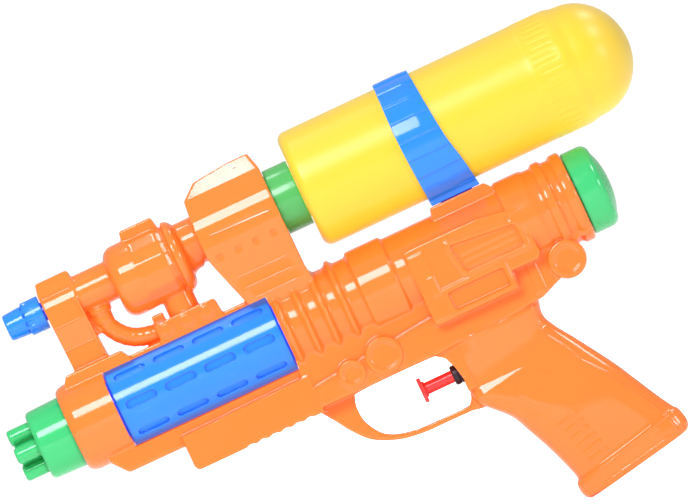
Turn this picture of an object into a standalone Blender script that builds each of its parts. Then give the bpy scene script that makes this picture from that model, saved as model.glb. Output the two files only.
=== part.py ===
"""Toy water squirter: two half shells, a screw-on tank held by a strap, and a trigger pump.

Sizes are in millimetres, and the helpers turn them into Blender's metres. X runs along the
barrel with the muzzle at -X, Z is up, and Y = 0 is the plane where the two shells meet.
The origin is the middle of the hand grip.
"""

import math

import bmesh
import bpy
from mathutils import Matrix, Vector

MM = 0.001
WELD = 0.002

# Fits
GAP = 0.3
PARTING = 0.15
WALL = 2.0

# Heights of the three axes that everything else is measured from
BARREL_Z = 75.5
TANK_RISE = 49.3
PUMP_DROP = 45.8

# Lengths along the barrel, from its rear end forward
BARREL_BACK = 38.5
REAR_RINGS_LENGTH = 18.5
RECEIVER_LENGTH = 62.6
BAND_LENGTH = 15.9
RIBBED_LENGTH = 36.3
SLEEVE_LENGTH = 73.9
RING_LENGTH = 21.3

# Barrel
BARREL_R = 17.2
RING_R = 18.8
RECEIVER_R = 17.6
RIDGE_HEIGHT = 2.0
RIDGE_WIDTH = 4.4
RIDGE_PITCH = 8.5
RIDGE_COUNT = 4
COLLAR_STEP = 1.3

# Sleeve
SLEEVE_R = 16.5
SLEEVE_WALL = 2.6
SPIGOT_LENGTH = 4.0
POCKET_LENGTH = 13.8
POCKET_WIDTH = 4.2
POCKET_PITCH = 17.7
POCKET_DEPTH = 1.1
POCKET_COUNT = 4
POCKET_ROW_ANGLE = 47.0

# Muzzle and its jet
MUZZLE_R = 15.2
MUZZLE_LENGTH = 15.0
PRONG_LENGTH = 10.0
PRONG_R = 3.5
PRONG_CIRCLE_R = 7.7
BARB_R = 1.7
BARB_BORE_R = 0.9
JET_SEAT = 2.2
JET_FLANGE = 2.0

# Rear cap
CAP_R = 17.8
CAP_LENGTH = 14.5

# Upper line: false nozzle, post, pipe, chamber, hose
POST_OFFSET = 10.6
POST_LENGTH = 14.6
PIPE_R = 8.2
TIP_R = 7.2
TIP_LENGTH = 17.0
TIP_SPIGOT_R = 4.0
TIP_RIBS = 10
CHAMBER_R = 15.4
CHAMBER_DROP = 2.7
CHAMBER_LENGTH = 36.6
CHAMBER_OFFSET = 41.0
HOSE_R = 3.7
HOSE_RIB = 0.5
HOSE_RIBS = 9
NECK_PIPE_R = 10.3
CHAMBER_RIBS = 18

# Tank, collar and strap
SOCKET_OFFSET = 19.8
SOCKET_LENGTH = 34.8
COLLAR_R = 14.1
COLLAR_LENGTH = 9.8
TANK_R = 25.15
TANK_LENGTH = 149.0
TANK_WALL = 1.6
TANK_BAND_START = 41.5
NECK_R = 11.0
NECK_LENGTH = 15.5
GASKET_SPACE = 1.9
COLLAR_FLOOR = 2.0
STRAP_THICKNESS = 2.0
STRAP_PADS = 20
STRAP_PAD_STEP = 0.7
STRAP_TOP_WIDTH = 15.0
STRAP_FOOT_WIDTH = 22.0
STRAP_BACK = 4.9
STRAP_FOOT_HEIGHT = 3.55
STRAP_TENON_INSET = 4.0
STRAP_TENON_HALF = 5.0
STRAP_TENON_DEPTH = 3.5

# Trigger pump
TRIGGER_FACE = 53.6
TRIGGER_HEIGHT = 10.6
TRIGGER_WIDTH = 12.0
TRIGGER_THICKNESS = 1.7
ROD_R = 2.6
PUMP_BORE_R = 4.5
PUMP_WALL = 1.1
PUMP_FRONT = 33.2
GLAND_FRONT = 39.2
GLAND_LENGTH = 7.2
PISTON_LENGTH = 4.0
SPRING_SPACE = 11.6
SPRING_TURNS = 5
SPRING_WIRE_R = 0.3
VALVE_R = 5.0
VALVE_HALF_HEIGHT = 9.0
BALL_R = 1.7
BARB_LENGTH = 5.0
NIPPLE_R = 2.0
HOSE_WALL = 0.7

# Shell screws
SCREW_R = 1.2
SCREW_HEAD_R = 2.2
SCREW_HEAD_HEIGHT = 1.6
SCREW_SEAT = 5.0
SCREW_REACH = 5.0
POST_R = 4.0

# Half widths of the flat forms of the shells
KEEL_HALF = 10.4
FOREGRIP_HALF = 12.6
RECEIVER_HALF = 12.2
STEP_HALF = 13.2
GUARD_HALF = 5.6
PANEL_HALF = 18.2
RELIEF = 0.6
WAVE_COUNT = 6
WAVE_DEPTH = 0.7

# Places that follow from the sizes above
TANK_Z = BARREL_Z + TANK_RISE
PUMP_Z = BARREL_Z - PUMP_DROP
CHAMBER_Z = TANK_Z - CHAMBER_DROP
X_REAR = BARREL_BACK
X_RINGS = X_REAR - REAR_RINGS_LENGTH
X_RECEIVER = X_RINGS - RECEIVER_LENGTH
X_BAND = X_RECEIVER - BAND_LENGTH
X_RIBS = X_BAND - RIBBED_LENGTH
X_SLEEVE = X_RIBS - SLEEVE_LENGTH
X_RING = X_SLEEVE - RING_LENGTH
X_POST = X_RING + POST_OFFSET
X_POST_BACK = X_POST + POST_LENGTH
X_CHAMBER = X_RING + CHAMBER_OFFSET
X_CHAMBER_BACK = X_CHAMBER + CHAMBER_LENGTH
X_SOCKET = X_RIBS + SOCKET_OFFSET
X_SOCKET_FRONT = X_SOCKET - SOCKET_LENGTH
X_TANK = X_SOCKET + COLLAR_LENGTH + 2 * GAP
X_STRAP_BACK = STRAP_BACK
X_STRAP = STRAP_BACK - STRAP_FOOT_WIDTH
X_PISTON = -GLAND_FRONT + GLAND_LENGTH + GAP
X_PISTON_BACK = X_PISTON + PISTON_LENGTH
X_PUMP_FLOOR = X_PISTON_BACK + SPRING_SPACE
X_PUMP_END = X_PUMP_FLOOR + 1.5
X_VALVE = X_PUMP_END + GAP + VALVE_R
SADDLE_Z = TANK_Z - TANK_R - STRAP_FOOT_HEIGHT
CAVITY_R = BARREL_R - WALL
RING_CAVITY_R = RING_R - WALL - 0.2
SLEEVE_SPIGOT_R = SLEEVE_R - 1.8
CAP_SPIGOT_R = CAP_R - 2.8
COLLAR_SPIGOT_R = COLLAR_R - 2.1
SOCKET_CAVITY_R = COLLAR_R - 0.8
FINE = 24
ROUND = 14
SMALL = 8

# The exact solver leaves open edges where the many curved forms of the shells meet
SHELL_SOLVER = "MANIFOLD"

# Hand grip, from the top of its neck to the butt: front edge and back edge as X and the
# drop below the barrel's axis, and half width
GRIP_SECTIONS = (
    ((-36.2, 25.5), (8.0, 25.5), 12.0),
    ((-35.7, 40.5), (5.0, 37.5), 12.0),
    ((-35.5, 48.5), (7.0, 43.5), 11.6),
    ((-35.4, 55.0), (9.8, 48.0), 11.6),
    ((-34.2, 60.5), (13.2, 53.0), 12.4),
    ((-24.6, 70.7), (22.6, 67.9), 13.1),
    ((-20.4, 79.1), (27.6, 77.1), 13.4),
    ((-15.0, 91.5), (33.2, 87.7), 13.2),
    ((-10.6, 104.7), (37.4, 94.9), 12.8),
    ((-11.6, 107.0), (39.0, 96.7), 13.6),
    ((-11.8, 110.7), (40.4, 102.5), 13.7),
    ((-10.6, 113.9), (39.2, 105.7), 13.2),
    ((-8.6, 115.1), (36.8, 106.8), 12.0),
)
GRIP_FRONT_SQUARENESS = 2.8
GRIP_BACK_SQUARENESS = 4.4
GRIP_POINTS = 16

# Round bosses on the sides: X, height, radius, radius of the recess and half width
BOSSES = (
    (X_BAND - 17.5, BARREL_Z - 27.2, 5.8, 4.0, STEP_HALF + 1.1),
    (X_BAND - 2.5, BARREL_Z - 25.9, 7.8, 5.7, STEP_HALF + 1.2),
    (X_RINGS + 3.5, BARREL_Z - 22, 8.0, 5.5, RECEIVER_HALF + 1.6),
)

# Where the shell screws go, as X and Z
SCREW_SPOTS = (
    (X_RING + 19.0, BARREL_Z - 21.6),
    (X_RIBS - 9.5, BARREL_Z - 28.5),
    (X_RECEIVER - 5.5, BARREL_Z - 27.5),
    (X_RINGS - 11.0, BARREL_Z - 22.5),
    (-24.5, BARREL_Z - 60.5),
    (22.0, BARREL_Z - 93.5),
    (X_SOCKET - 9.0, TANK_Z + 18.8),
)

ORANGE = (255, 138, 48)
BLUE = (52, 148, 250)
YELLOW = (250, 222, 60)
GREEN = (72, 212, 125)
LEAF = (92, 186, 98)
RED = (252, 72, 64)
BLACK = (38, 24, 34)
CLEAR_WHITE = (232, 236, 236)
STEEL = (190, 192, 196)

for old in list(bpy.data.objects):
    bpy.data.objects.remove(old)

parts = bpy.data.collections.new("water_squirter")
workshop = bpy.data.collections.new("workshop")
for group in (parts, workshop):
    bpy.context.scene.collection.children.link(group)

FACING = {
    "X": Matrix(((0, 0, 1, 0), (1, 0, 0, 0), (0, 1, 0, 0), (0, 0, 0, 1))),
    "Y": Matrix(((1, 0, 0, 0), (0, 0, -1, 0), (0, 1, 0, 0), (0, 0, 0, 1))),
    "Z": Matrix.Identity(4),
}


def discard(obj):
    """Removes a helper object together with its mesh or curve."""
    data = obj.data
    bpy.data.objects.remove(obj)
    if isinstance(data, bpy.types.Mesh):
        bpy.data.meshes.remove(data)
    else:
        bpy.data.curves.remove(data)


def helper(data, matrix=None):
    """Puts a mesh or curve into the workshop collection as an object."""
    obj = bpy.data.objects.new("form", data)
    obj.matrix_world = matrix or Matrix.Identity(4)
    workshop.objects.link(obj)
    return obj


def bake(obj, weld=False):
    """Turns an object's curve or modifiers into a plain mesh in world space."""
    bpy.context.view_layer.update()
    graph = bpy.context.evaluated_depsgraph_get()
    mesh = bpy.data.meshes.new_from_object(obj.evaluated_get(graph), depsgraph=graph)
    shape = bmesh.new()
    shape.from_mesh(mesh)
    shape.transform(obj.matrix_world)
    if weld:
        bmesh.ops.remove_doubles(shape, verts=shape.verts, dist=WELD * MM)
        bmesh.ops.recalc_face_normals(shape, faces=shape.faces)
    shape.to_mesh(mesh)
    shape.free()
    discard(obj)
    return helper(mesh)


def softened(obj, width, segments=1, angle=40):
    """Rounds the sharp edges of a solid with a Bevel."""
    bevel = obj.modifiers.new("soft edges", "BEVEL")
    bevel.width = width * MM
    bevel.segments = segments
    bevel.limit_method = "ANGLE"
    bevel.angle_limit = math.radians(angle)
    return bake(obj)


def turned(profile, at, axis="X", steps=FINE, ring=False):
    """Revolves (station, radius) points about an axis through a point; a ring is a closed loop."""
    points = list(profile)
    if not ring:
        if points[0][1] > 0:
            points.insert(0, (points[0][0], 0))
        if points[-1][1] > 0:
            points.append((points[-1][0], 0))
    count = len(points)
    edges = [(i, i + 1) for i in range(count - 1)]
    if ring:
        edges.append((count - 1, 0))
    mesh = bpy.data.meshes.new("profile")
    mesh.from_pydata([(r * MM, 0, s * MM) for s, r in points], edges, [])
    turn = {"X": Matrix.Rotation(math.pi / 2, 4, "Y"), "Z": Matrix.Identity(4)}
    turn["Y"] = Matrix.Rotation(-math.pi / 2, 4, "X")
    obj = helper(mesh, Matrix.Translation(Vector(at) * MM) @ turn[axis])
    screw = obj.modifiers.new("turned", "SCREW")
    screw.steps = steps
    screw.render_steps = steps
    screw.use_merge_vertices = True
    screw.merge_threshold = 0.00001
    return bake(obj, weld=True)


def rod(start, end, radius, at, axis="X", steps=ROUND):
    """Round bar between two stations of an axis."""
    return turned([(start, radius), (end, radius)], at, axis, steps)


def plate(outlines, low, high, axis="Y"):
    """Solid between two planes from closed outlines; an outline inside another is a hole."""
    curve = bpy.data.curves.new("outline", "CURVE")
    curve.dimensions = "2D"
    curve.fill_mode = "BOTH"
    curve.extrude = (high - low) / 2 * MM
    for outline in outlines:
        spline = curve.splines.new("POLY")
        spline.points.add(len(outline) - 1)
        spline.use_cyclic_u = True
        for point, (across, up) in zip(spline.points, outline):
            point.co = (across * MM, up * MM, 0, 1)
    middle = (low + high) / 2
    shift = {"X": (middle, 0, 0), "Y": (0, middle, 0), "Z": (0, 0, middle)}[axis]
    obj = helper(curve, Matrix.Translation(Vector(shift) * MM) @ FACING[axis])
    return bake(obj, weld=True)


def slab(corners, half_width):
    """Plate of a side outline with rounded corners, the same to both sides of the middle plane."""
    return plate([rounded(corners)], -half_width, half_width)


def box(low, high):
    """Box between two corners."""
    mesh = bpy.data.meshes.new("box")
    shape = bmesh.new()
    bmesh.ops.create_cube(shape, size=MM)
    low, high = Vector(low), Vector(high)
    bmesh.ops.scale(shape, vec=high - low, verts=shape.verts)
    bmesh.ops.translate(shape, vec=(low + high) / 2 * MM, verts=shape.verts)
    shape.to_mesh(mesh)
    shape.free()
    return helper(mesh)


def ball(radius, at):
    """Round ball."""
    mesh = bpy.data.meshes.new("ball")
    shape = bmesh.new()
    bmesh.ops.create_uvsphere(shape, u_segments=10, v_segments=6, radius=radius * MM)
    bmesh.ops.translate(shape, vec=Vector(at) * MM, verts=shape.verts)
    shape.to_mesh(mesh)
    shape.free()
    return helper(mesh)


def tube(path, radius, bore_wall=None, resolution=1, rib=0):
    """Round hose or wire along a path, solid or with the given wall, with a rib at every other point."""
    curve = bpy.data.curves.new("path", "CURVE")
    curve.dimensions = "3D"
    curve.bevel_depth = radius * MM
    curve.bevel_resolution = resolution
    curve.use_fill_caps = bore_wall is None
    spline = curve.splines.new("POLY")
    spline.points.add(len(path) - 1)
    for k, (point, place) in enumerate(zip(spline.points, path)):
        point.co = (*(Vector(place) * MM), 1)
        point.radius = 1 - rib / radius * (k % 2)
    obj = bake(helper(curve), weld=True)
    if bore_wall is None:
        return obj
    wall = obj.modifiers.new("wall", "SOLIDIFY")
    wall.thickness = bore_wall * MM
    wall.offset = -1
    return bake(obj, weld=True)


def loft(rings):
    """Skin over a row of rings with the same number of points, closed at both ends."""
    shape = bmesh.new()
    rows = [[shape.verts.new(Vector(p) * MM) for p in ring] for ring in rings]
    count = len(rows[0])
    for one, two in zip(rows, rows[1:]):
        for i in range(count):
            j = (i + 1) % count
            shape.faces.new((one[i], one[j], two[j], two[i]))
    shape.faces.new(rows[0])
    shape.faces.new(rows[-1])
    bmesh.ops.recalc_face_normals(shape, faces=shape.faces)
    mesh = bpy.data.meshes.new("loft")
    shape.to_mesh(mesh)
    shape.free()
    return helper(mesh)


def combined(target, tools, operation, solver):
    """Joins, cuts or trims a solid by others and removes those."""
    for tool in tools:
        modifier = target.modifiers.new(operation.lower(), "BOOLEAN")
        modifier.operation = operation
        modifier.solver = solver
        modifier.object = tool
    result = bake(target)
    for tool in tools:
        discard(tool)
    return result


def join(target, *tools, solver="EXACT"):
    return combined(target, tools, "UNION", solver)


def cut(target, *tools, solver="EXACT"):
    return combined(target, tools, "DIFFERENCE", solver)


def trim(target, *tools, solver="EXACT"):
    return combined(target, tools, "INTERSECT", solver)


def duplicate(obj):
    return helper(obj.data.copy(), obj.matrix_world.copy())


def spun(obj, angle, at):
    """Turns a helper about the X direction through a point, in degrees."""
    centre = Matrix.Translation(Vector(at) * MM)
    turn = centre @ Matrix.Rotation(math.radians(angle), 4, "X") @ centre.inverted()
    obj.data.transform(turn)
    return obj


def rounded(corners, steps=2):
    """Polygon from (across, up, corner radius) with its corners as arcs."""
    outline = []
    for i, (across, up, radius) in enumerate(corners):
        here = Vector((across, up))
        if radius == 0:
            outline.append(tuple(here))
            continue
        back = (Vector(corners[i - 1][:2]) - here).normalized()
        ahead = (Vector(corners[(i + 1) % len(corners)][:2]) - here).normalized()
        half = back.angle(ahead) / 2
        centre = here + (back + ahead).normalized() * (radius / math.sin(half))
        first = here + back * (radius / math.tan(half)) - centre
        last = here + ahead * (radius / math.tan(half)) - centre
        sweep = math.atan2(first.x * last.y - first.y * last.x, first.dot(last))
        for k in range(steps + 1):
            spoke = Matrix.Rotation(sweep * k / steps, 2) @ first
            outline.append(tuple(centre + spoke))
    return outline


def smooth(points, steps=2):
    """Smooth line through points of two or three coordinates."""
    spots = [Vector(p) for p in points]
    line = [spots[0]]
    for i in range(len(spots) - 1):
        a = spots[max(i - 1, 0)]
        b, c = spots[i], spots[i + 1]
        d = spots[min(i + 2, len(spots) - 1)]
        for k in range(1, steps + 1):
            t = k / steps
            bend = (2 * a - 5 * b + 4 * c - d) * t * t + (3 * b - a - 3 * c + d) * t**3
            line.append((2 * b + (c - a) * t + bend) / 2)
    return [tuple(p) for p in line]


def even(points, count):
    """Points at equal steps along a line."""
    spots = [Vector(p) for p in points]
    lengths = [0.0]
    for one, two in zip(spots, spots[1:]):
        lengths.append(lengths[-1] + (two - one).length)
    line = []
    k = 0
    for i in range(count):
        along = lengths[-1] * i / (count - 1)
        while k < len(spots) - 2 and lengths[k + 1] < along:
            k += 1
        share = (along - lengths[k]) / (lengths[k + 1] - lengths[k])
        line.append(tuple(spots[k].lerp(spots[k + 1], share)))
    return line


def least_gap(points, radius, turn):
    """Smallest space between the turns of a round wire, measured on its points."""
    spots = [Vector(p) for p in points]
    pairs = ((a, b) for i, a in enumerate(spots) for b in spots[i + turn // 2 + 1 :])
    return min((b - a).length for a, b in pairs) - 2 * radius


def quarter(start, end, steps=3, outward=True):
    """Quarter of an ellipse between two profile points, bulging away from the axis."""
    points = []
    for k in range(steps + 1):
        t = math.pi / 2 * k / steps
        along, rise = 1 - math.cos(t), math.sin(t)
        if not outward:
            along, rise = math.sin(t), 1 - math.cos(t)
        station = start[0] + (end[0] - start[0]) * along
        radius = start[1] + (end[1] - start[1]) * rise
        points.append((station, radius))
    return points


def capsule(length, width, at, steps=3):
    """Outline of a slot with round ends, lying along the first coordinate."""
    reach = (length - width) / 2
    outline = []
    for side in (1, -1):
        for k in range(steps + 1):
            t = math.pi * k / steps - math.pi / 2
            across = reach + width / 2 * math.cos(t)
            outline.append((at + side * across, side * width / 2 * math.sin(t)))
    return outline


def mirrored(half):
    """Section across the object from its +Y points, listed from the top down."""
    return [*half, *((-y, z) for y, z in reversed(half))]


def linear(channel):
    value = channel / 255
    return value / 12.92 if value <= 0.04045 else ((value + 0.055) / 1.055) ** 2.4


def plastic(name, colour, roughness, metallic=0.0):
    """Principled material from a colour given in 0 to 255."""
    material = bpy.data.materials.new(name)
    material.use_nodes = True
    shader = material.node_tree.nodes["Principled BSDF"]
    tint = [linear(c) for c in colour]
    shader.inputs["Base Color"].default_value = (*tint, 1)
    shader.inputs["Roughness"].default_value = roughness
    shader.inputs["Metallic"].default_value = metallic
    material.diffuse_color = (*tint, 1)
    return material


body = bpy.data.objects.new("squirter_body", None)
parts.objects.link(body)


def publish(obj, name, material, origin=(0, 0, 0)):
    """Makes a finished solid a named part with its origin at a chosen point."""
    obj.name = name
    obj.data.name = name
    place = Vector(origin) * MM
    obj.data.transform(Matrix.Translation(-place))
    obj.location = place
    obj.data.materials.clear()
    obj.data.materials.append(material)
    obj.data.shade_smooth()
    obj.data.set_sharp_from_angle(angle=math.radians(32))
    workshop.objects.unlink(obj)
    parts.objects.link(obj)
    obj.parent = body
    return obj


AXIS = (0, 0, BARREL_Z)
TANK_AXIS = (0, 0, TANK_Z)
PUMP_AXIS = (0, 0, PUMP_Z)


def barrel_forms():
    """Front ring and rear barrel with its ridges, band and rear rings."""
    mouth = MUZZLE_R + GAP + 0.4
    ring = quarter((X_RING, mouth), (X_RING + 5, RING_R))
    ring.append((X_SLEEVE, RING_R))
    rear = [(X_RIBS, BARREL_R)]
    for i in range(RIDGE_COUNT):
        centre = X_RIBS + RIDGE_WIDTH / 2 + 0.4 + i * RIDGE_PITCH
        for share, rise in ((-0.5, 0), (-0.2, 1), (0.2, 1), (0.5, 0)):
            rear.append((centre + share * RIDGE_WIDTH, BARREL_R + rise * RIDGE_HEIGHT))
    band = BARREL_R + COLLAR_STEP + 0.4
    rear += [(X_BAND - 0.6, BARREL_R), (X_BAND + 0.4, band), (X_RECEIVER - 0.4, band)]
    rear += [(X_RECEIVER + 0.4, RECEIVER_R), (X_RINGS - 12, RECEIVER_R)]
    high = RECEIVER_R + COLLAR_STEP
    low = RECEIVER_R + 0.5
    top = high + 0.5
    rear += [(X_RINGS - 11, high), (X_RINGS, high), (X_RINGS + 2, low), (X_RINGS + 5, low)]
    rear += [(X_RINGS + 6, top), (X_RINGS + 9, top), (X_RINGS + 10.2, low), (X_RINGS + 13, low)]
    rear += [(X_RINGS + 14.2, top), (X_REAR - 0.9, top), (X_REAR, top - 0.8)]
    return [turned(ring, AXIS), turned(rear, AXIS)]


def foregrip_line():
    """Underside of the fore-end with its shallow finger waves."""
    floor = BARREL_Z - 36.5
    start, end = X_RIBS - 33.5, X_RIBS - 2
    line = []
    for k in range(2 * WAVE_COUNT + 1):
        across = start + (end - start) * k / (2 * WAVE_COUNT)
        line.append((across, floor + WAVE_DEPTH * (k % 2)))
    return floor, line


def lower_forms():
    """Keel, fore-end block, receiver, raised step, guard and grip."""
    z = BARREL_Z
    front = X_RING + 9.2
    keel = [(front - 0.8, z - 12, 0), (front, z - 18.6, 0), (front + 5.4, z - 25.2, 2)]
    keel += [(X_RIBS + 2, z - 25.4, 0), (X_RIBS + 2, z - 12, 0)]
    floor, waves = foregrip_line()
    block_front = X_SLEEVE + 18.4
    head = [(block_front, z - 20.2, 0.8), (block_front, floor, 2.2), (waves[0][0], floor, 0)]
    block = [*rounded(head)[:-1], *waves, (X_RIBS + 2.2, floor), (X_RIBS + 2.2, z - 20.2)]
    receiver = [(X_RIBS - 0.7, z - 5, 0), (X_RIBS - 0.7, z - 34.5, 1), (-40, z - 35.1, 0)]
    receiver += [(8, z - 31.9, 2), (18, z - 28, 3), (24, z - 25, 0), (31.5, z - 16, 1)]
    receiver += [(X_REAR - 2.5, z - 15.5, 0), (X_REAR - 2.5, z - 5, 0)]
    step = [(X_RIBS + 2.4, z - 25.9, 0), (X_RECEIVER + 5.8, z - 20.2, 0)]
    step += [(X_RECEIVER + 6.6, z - 33.5, 0), (X_RIBS + 2.8, z - 34.5, 0)]
    outer = [(-95.5, -35), (-90.2, -42.5), (-86.5, -48.2), (-80, -55.3), (-70, -59.9), (-60, -61.6)]
    outer = [*smooth(outer), (-38, -61.9), (-33, -62.9), (-27, -55.5), (-27, -28.5), (-95, -28.5)]
    inner = [(-80.2, -40.5), (-79.7, -47), (-75.6, -54.1), (-70, -57.5), (-62, -59.3), (-55, -59.6)]
    inner += [(-40, -59.7), (-37, -58.5), (-35.5, -55), (-35.3, -48.5), (-36.6, -42.5)]
    inner += [(-38.6, -37.9), (-42, -35.3), (-75.5, -35.3), (-79, -36.9)]
    guard = [[(x, z + rise) for x, rise in line] for line in (outer, inner)]
    return [
        slab(keel, KEEL_HALF),
        softened(plate([block], -FOREGRIP_HALF, FOREGRIP_HALF), 0.8),
        softened(slab(receiver, RECEIVER_HALF), 1.2),
        slab(step, STEP_HALF),
        softened(plate(guard, -GUARD_HALF, GUARD_HALF), 0.9),
        box((6.8, -RECEIVER_HALF - RELIEF, z - 30), (10.8, RECEIVER_HALF + RELIEF, z - 16)),
        loft(grip_rings(0)),
    ]


def grip_rings(inset):
    """Rounded sections of the grip, drawn in by a wall for the hollow."""
    rings = []
    for (x_front, drop_front), (x_back, drop_back), half in GRIP_SECTIONS:
        front = Vector((x_front, BARREL_Z - drop_front))
        back = Vector((x_back, BARREL_Z - drop_back))
        chord = back - front
        middle = (back + front) / 2
        reach = chord / 2 * (1 - 2 * inset / chord.length)
        ring = []
        for k in range(GRIP_POINTS):
            t = 2 * math.pi * k / GRIP_POINTS
            c, s = math.cos(t), math.sin(t)
            power = 2 / (GRIP_BACK_SQUARENESS if c > 0 else GRIP_FRONT_SQUARENESS)
            u = math.copysign(abs(c) ** power, c)
            v = math.copysign(abs(s) ** power, s)
            ring.append((middle.x + reach.x * u, (half - inset) * v, middle.y + reach.y * u))
        rings.append(ring)
    return rings


def post_form():
    """Faceted post that clamps the upper pipe."""
    a, b, z = X_POST, X_POST_BACK, TANK_Z
    foot = BARREL_Z + 14
    side = [(a + 1.2, foot, 0), (a, z + 6.2, 0.8), (a + 1, z + 11.5, 0.8), (b + 0.4, z + 11.5, 1)]
    side += [(b + 1, z + 9.5, 0), (b - 0.8, z, 0), (b + 0.4, z - 25, 0), (b + 1.4, foot, 0)]
    section = [(3, z + 12), (5.2, z + 8.2), (7.8, z + 3.7), (8.8, z + 0.4), (8.8, z - 8.6)]
    section += [(7, z - 18.8), (7, foot - 2)]
    return trim(slab(side, 14), plate([mirrored(section)], a - 5, b + 5, "X"))


def upper_forms():
    """Top block, rail, post, pipe, chamber, hose and the block it runs into."""
    z = BARREL_Z
    block = [(X_RING + 4.6, z + 10, 0), (X_RING + 4.6, z + 17, 0), (X_RING + 7.4, z + 21.5, 1.5)]
    tail = X_POST_BACK + 9.8
    block += [(tail - 3, z + 21.5, 1.2), (tail, z + 16.5, 0), (tail, z + 10, 0)]
    rail = box((X_SLEEVE - 5, -6.6, z + 10), (X_RIBS + 6, 6.6, z + 18))
    pipe = rod(X_POST_BACK - 3, X_CHAMBER + 3, PIPE_R, TANK_AXIS)
    a, b = X_CHAMBER, X_CHAMBER_BACK
    bulb = [*quarter((a, CHAMBER_R - 5), (a + 5.4, CHAMBER_R)), (b - 11.8, CHAMBER_R)]
    bulb += [(b - 10.2, CHAMBER_R - 1), (b - 9, CHAMBER_R), (b - 4.4, CHAMBER_R)]
    bulb += quarter((b - 4.4, CHAMBER_R), (b, CHAMBER_R - 6.2), outward=False)[1:]
    chamber = turned(bulb, (0, 0, CHAMBER_Z))
    ribs = []
    top = CHAMBER_Z + CHAMBER_R
    flank = [(a + 11.4, top - 1), (a + 11.4, top + 0.5), (b - 12.6, top + 0.5), (b - 10.2, top - 1)]
    for k in range(CHAMBER_RIBS):
        rib = plate([flank], -1.7, 1.7)
        ribs.append(spun(rib, 360 / CHAMBER_RIBS * (k + 0.5), (0, 0, CHAMBER_Z)))
    cap = [(a + 9.8, top - 2, 0), (a + 11, top + 3.8, 0.8)]
    cap += [(b - 11.6, top + 3.8, 0.8), (b - 10.4, top - 2, 0)]
    elbow_x = X_POST_BACK + 5.8
    low = TANK_Z - 15
    elbow = [(low, 3.2), (low + 0.4, 4.4), (low + 4, 4.4), (low + 4.6, 5.2), (low + 6.8, 5.2)]
    elbow += [(low + 7.4, 4.4), (TANK_Z, 4.4)]
    stem = rod(z + 22, CHAMBER_Z, 6.6, (a + 21.6, 0, 0), "Z")
    bank_top = z + 24.9
    bank = [(a + 7.8, z + 14, 0), (a + 7.8, bank_top, 1.5)]
    bank += [(a + 34.8, bank_top, 1.5), (a + 36, z + 14, 0)]
    half = 7.2
    bolts = []
    for x in (a + 12.2, a + 21.2, a + 30.2):
        bolts.append(rod(-half - RELIEF, half + RELIEF, 2.6, (x, 0, bank_top - 3.6), "Y", SMALL))
    nub = box((a + 8.2, -3.2, z + 23), (a + 13.2, 3.2, z + 28.6))
    path = [(elbow_x, 0, low + 2.5), (elbow_x + 0.6, 0, low - 1), (elbow_x + 4, 0, low - 6.6)]
    path += [(elbow_x + 9.8, 0, low - 10.8), (a + 9, 0, z + 21.4), (a + 11, 0, z + 21.2)]
    line = tube(even(smooth(path), 2 * HOSE_RIBS + 1), HOSE_R, resolution=2, rib=HOSE_RIB)
    neck = rod(b - 4, X_SOCKET_FRONT + 3, NECK_PIPE_R, TANK_AXIS)
    return [
        softened(slab(block, 9.5), 1.0),
        rail,
        post_form(),
        pipe,
        chamber,
        *ribs,
        slab(cap, 5),
        turned(elbow, (elbow_x, 0, 0), "Z", ROUND),
        stem,
        slab(bank, half),
        *bolts,
        nub,
        line,
        neck,
    ]


def socket_form():
    """Faceted housing that holds the tank collar, with its roof, louvres and dimples."""
    a, b, z = X_SOCKET_FRONT, X_SOCKET, TANK_Z
    foot = BARREL_Z + 12
    side = [(a + 7.8, foot, 0), (a + 1.2, z - 14.8, 2), (a + 0.2, z - 9.8, 2), (a, z + 3.2, 0)]
    side += [(a + 1.2, z + 16.2, 1), (a + 7.8, z + 21.8, 1.5), (b - 2.2, z + 24.2, 1), (b, z + 16.2, 1)]
    side += [(b + 0.2, z - 28, 0), (b + 1.6, foot, 0)]
    section = [(2.2, z + 23.4), (10.1, z + 16.2), (15.9, z + 7), (17.2, z + 3), (17.2, z - 5.6)]
    section += [(14.2, z - 20), (12.6, foot - 2)]
    housing = trim(slab(side, 22), plate([mirrored(section)], a - 5, b + 5, "X"))
    marks = []
    for side_sign in (-1, 1):
        inner, outer = sorted((side_sign * 16.8, side_sign * 20))
        marks.append(box((a + 5.6, inner, z - 1), (b - 4, outer, z - 0.2)))
        for k in range(4):
            spot = (a + 5.4 + 8 * k, 0, z - 10.8)
            dimple = sorted((side_sign * (16.1 - RELIEF), side_sign * 20))
            marks.append(rod(*dimple, 1.9, spot, "Y", SMALL))
        for k, start in enumerate((8, 9.6, 11.6)):
            level = z - 20 - 5.2 * k
            depth = 14.2 - 0.6 * k - RELIEF
            inner, outer = sorted((side_sign * depth, side_sign * 20))
            marks.append(box((a + start, inner, level - 0.5), (b - 5, outer, level + 0.5)))
    return cut(housing, *marks)


def saddle_form():
    """Seat on top of the receiver for the foot of the strap."""
    low = BARREL_Z + 12
    a, b = X_STRAP, X_STRAP_BACK
    outline = [(a - 3.4, low, 0), (a - 1.4, SADDLE_Z, 0.8), (b + 1.2, SADDLE_Z, 0.8)]
    outline += [(b + 3.8, SADDLE_Z - 3.2, 0), (b + 3.8, low, 0)]
    return slab(outline, 9.6)


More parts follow.
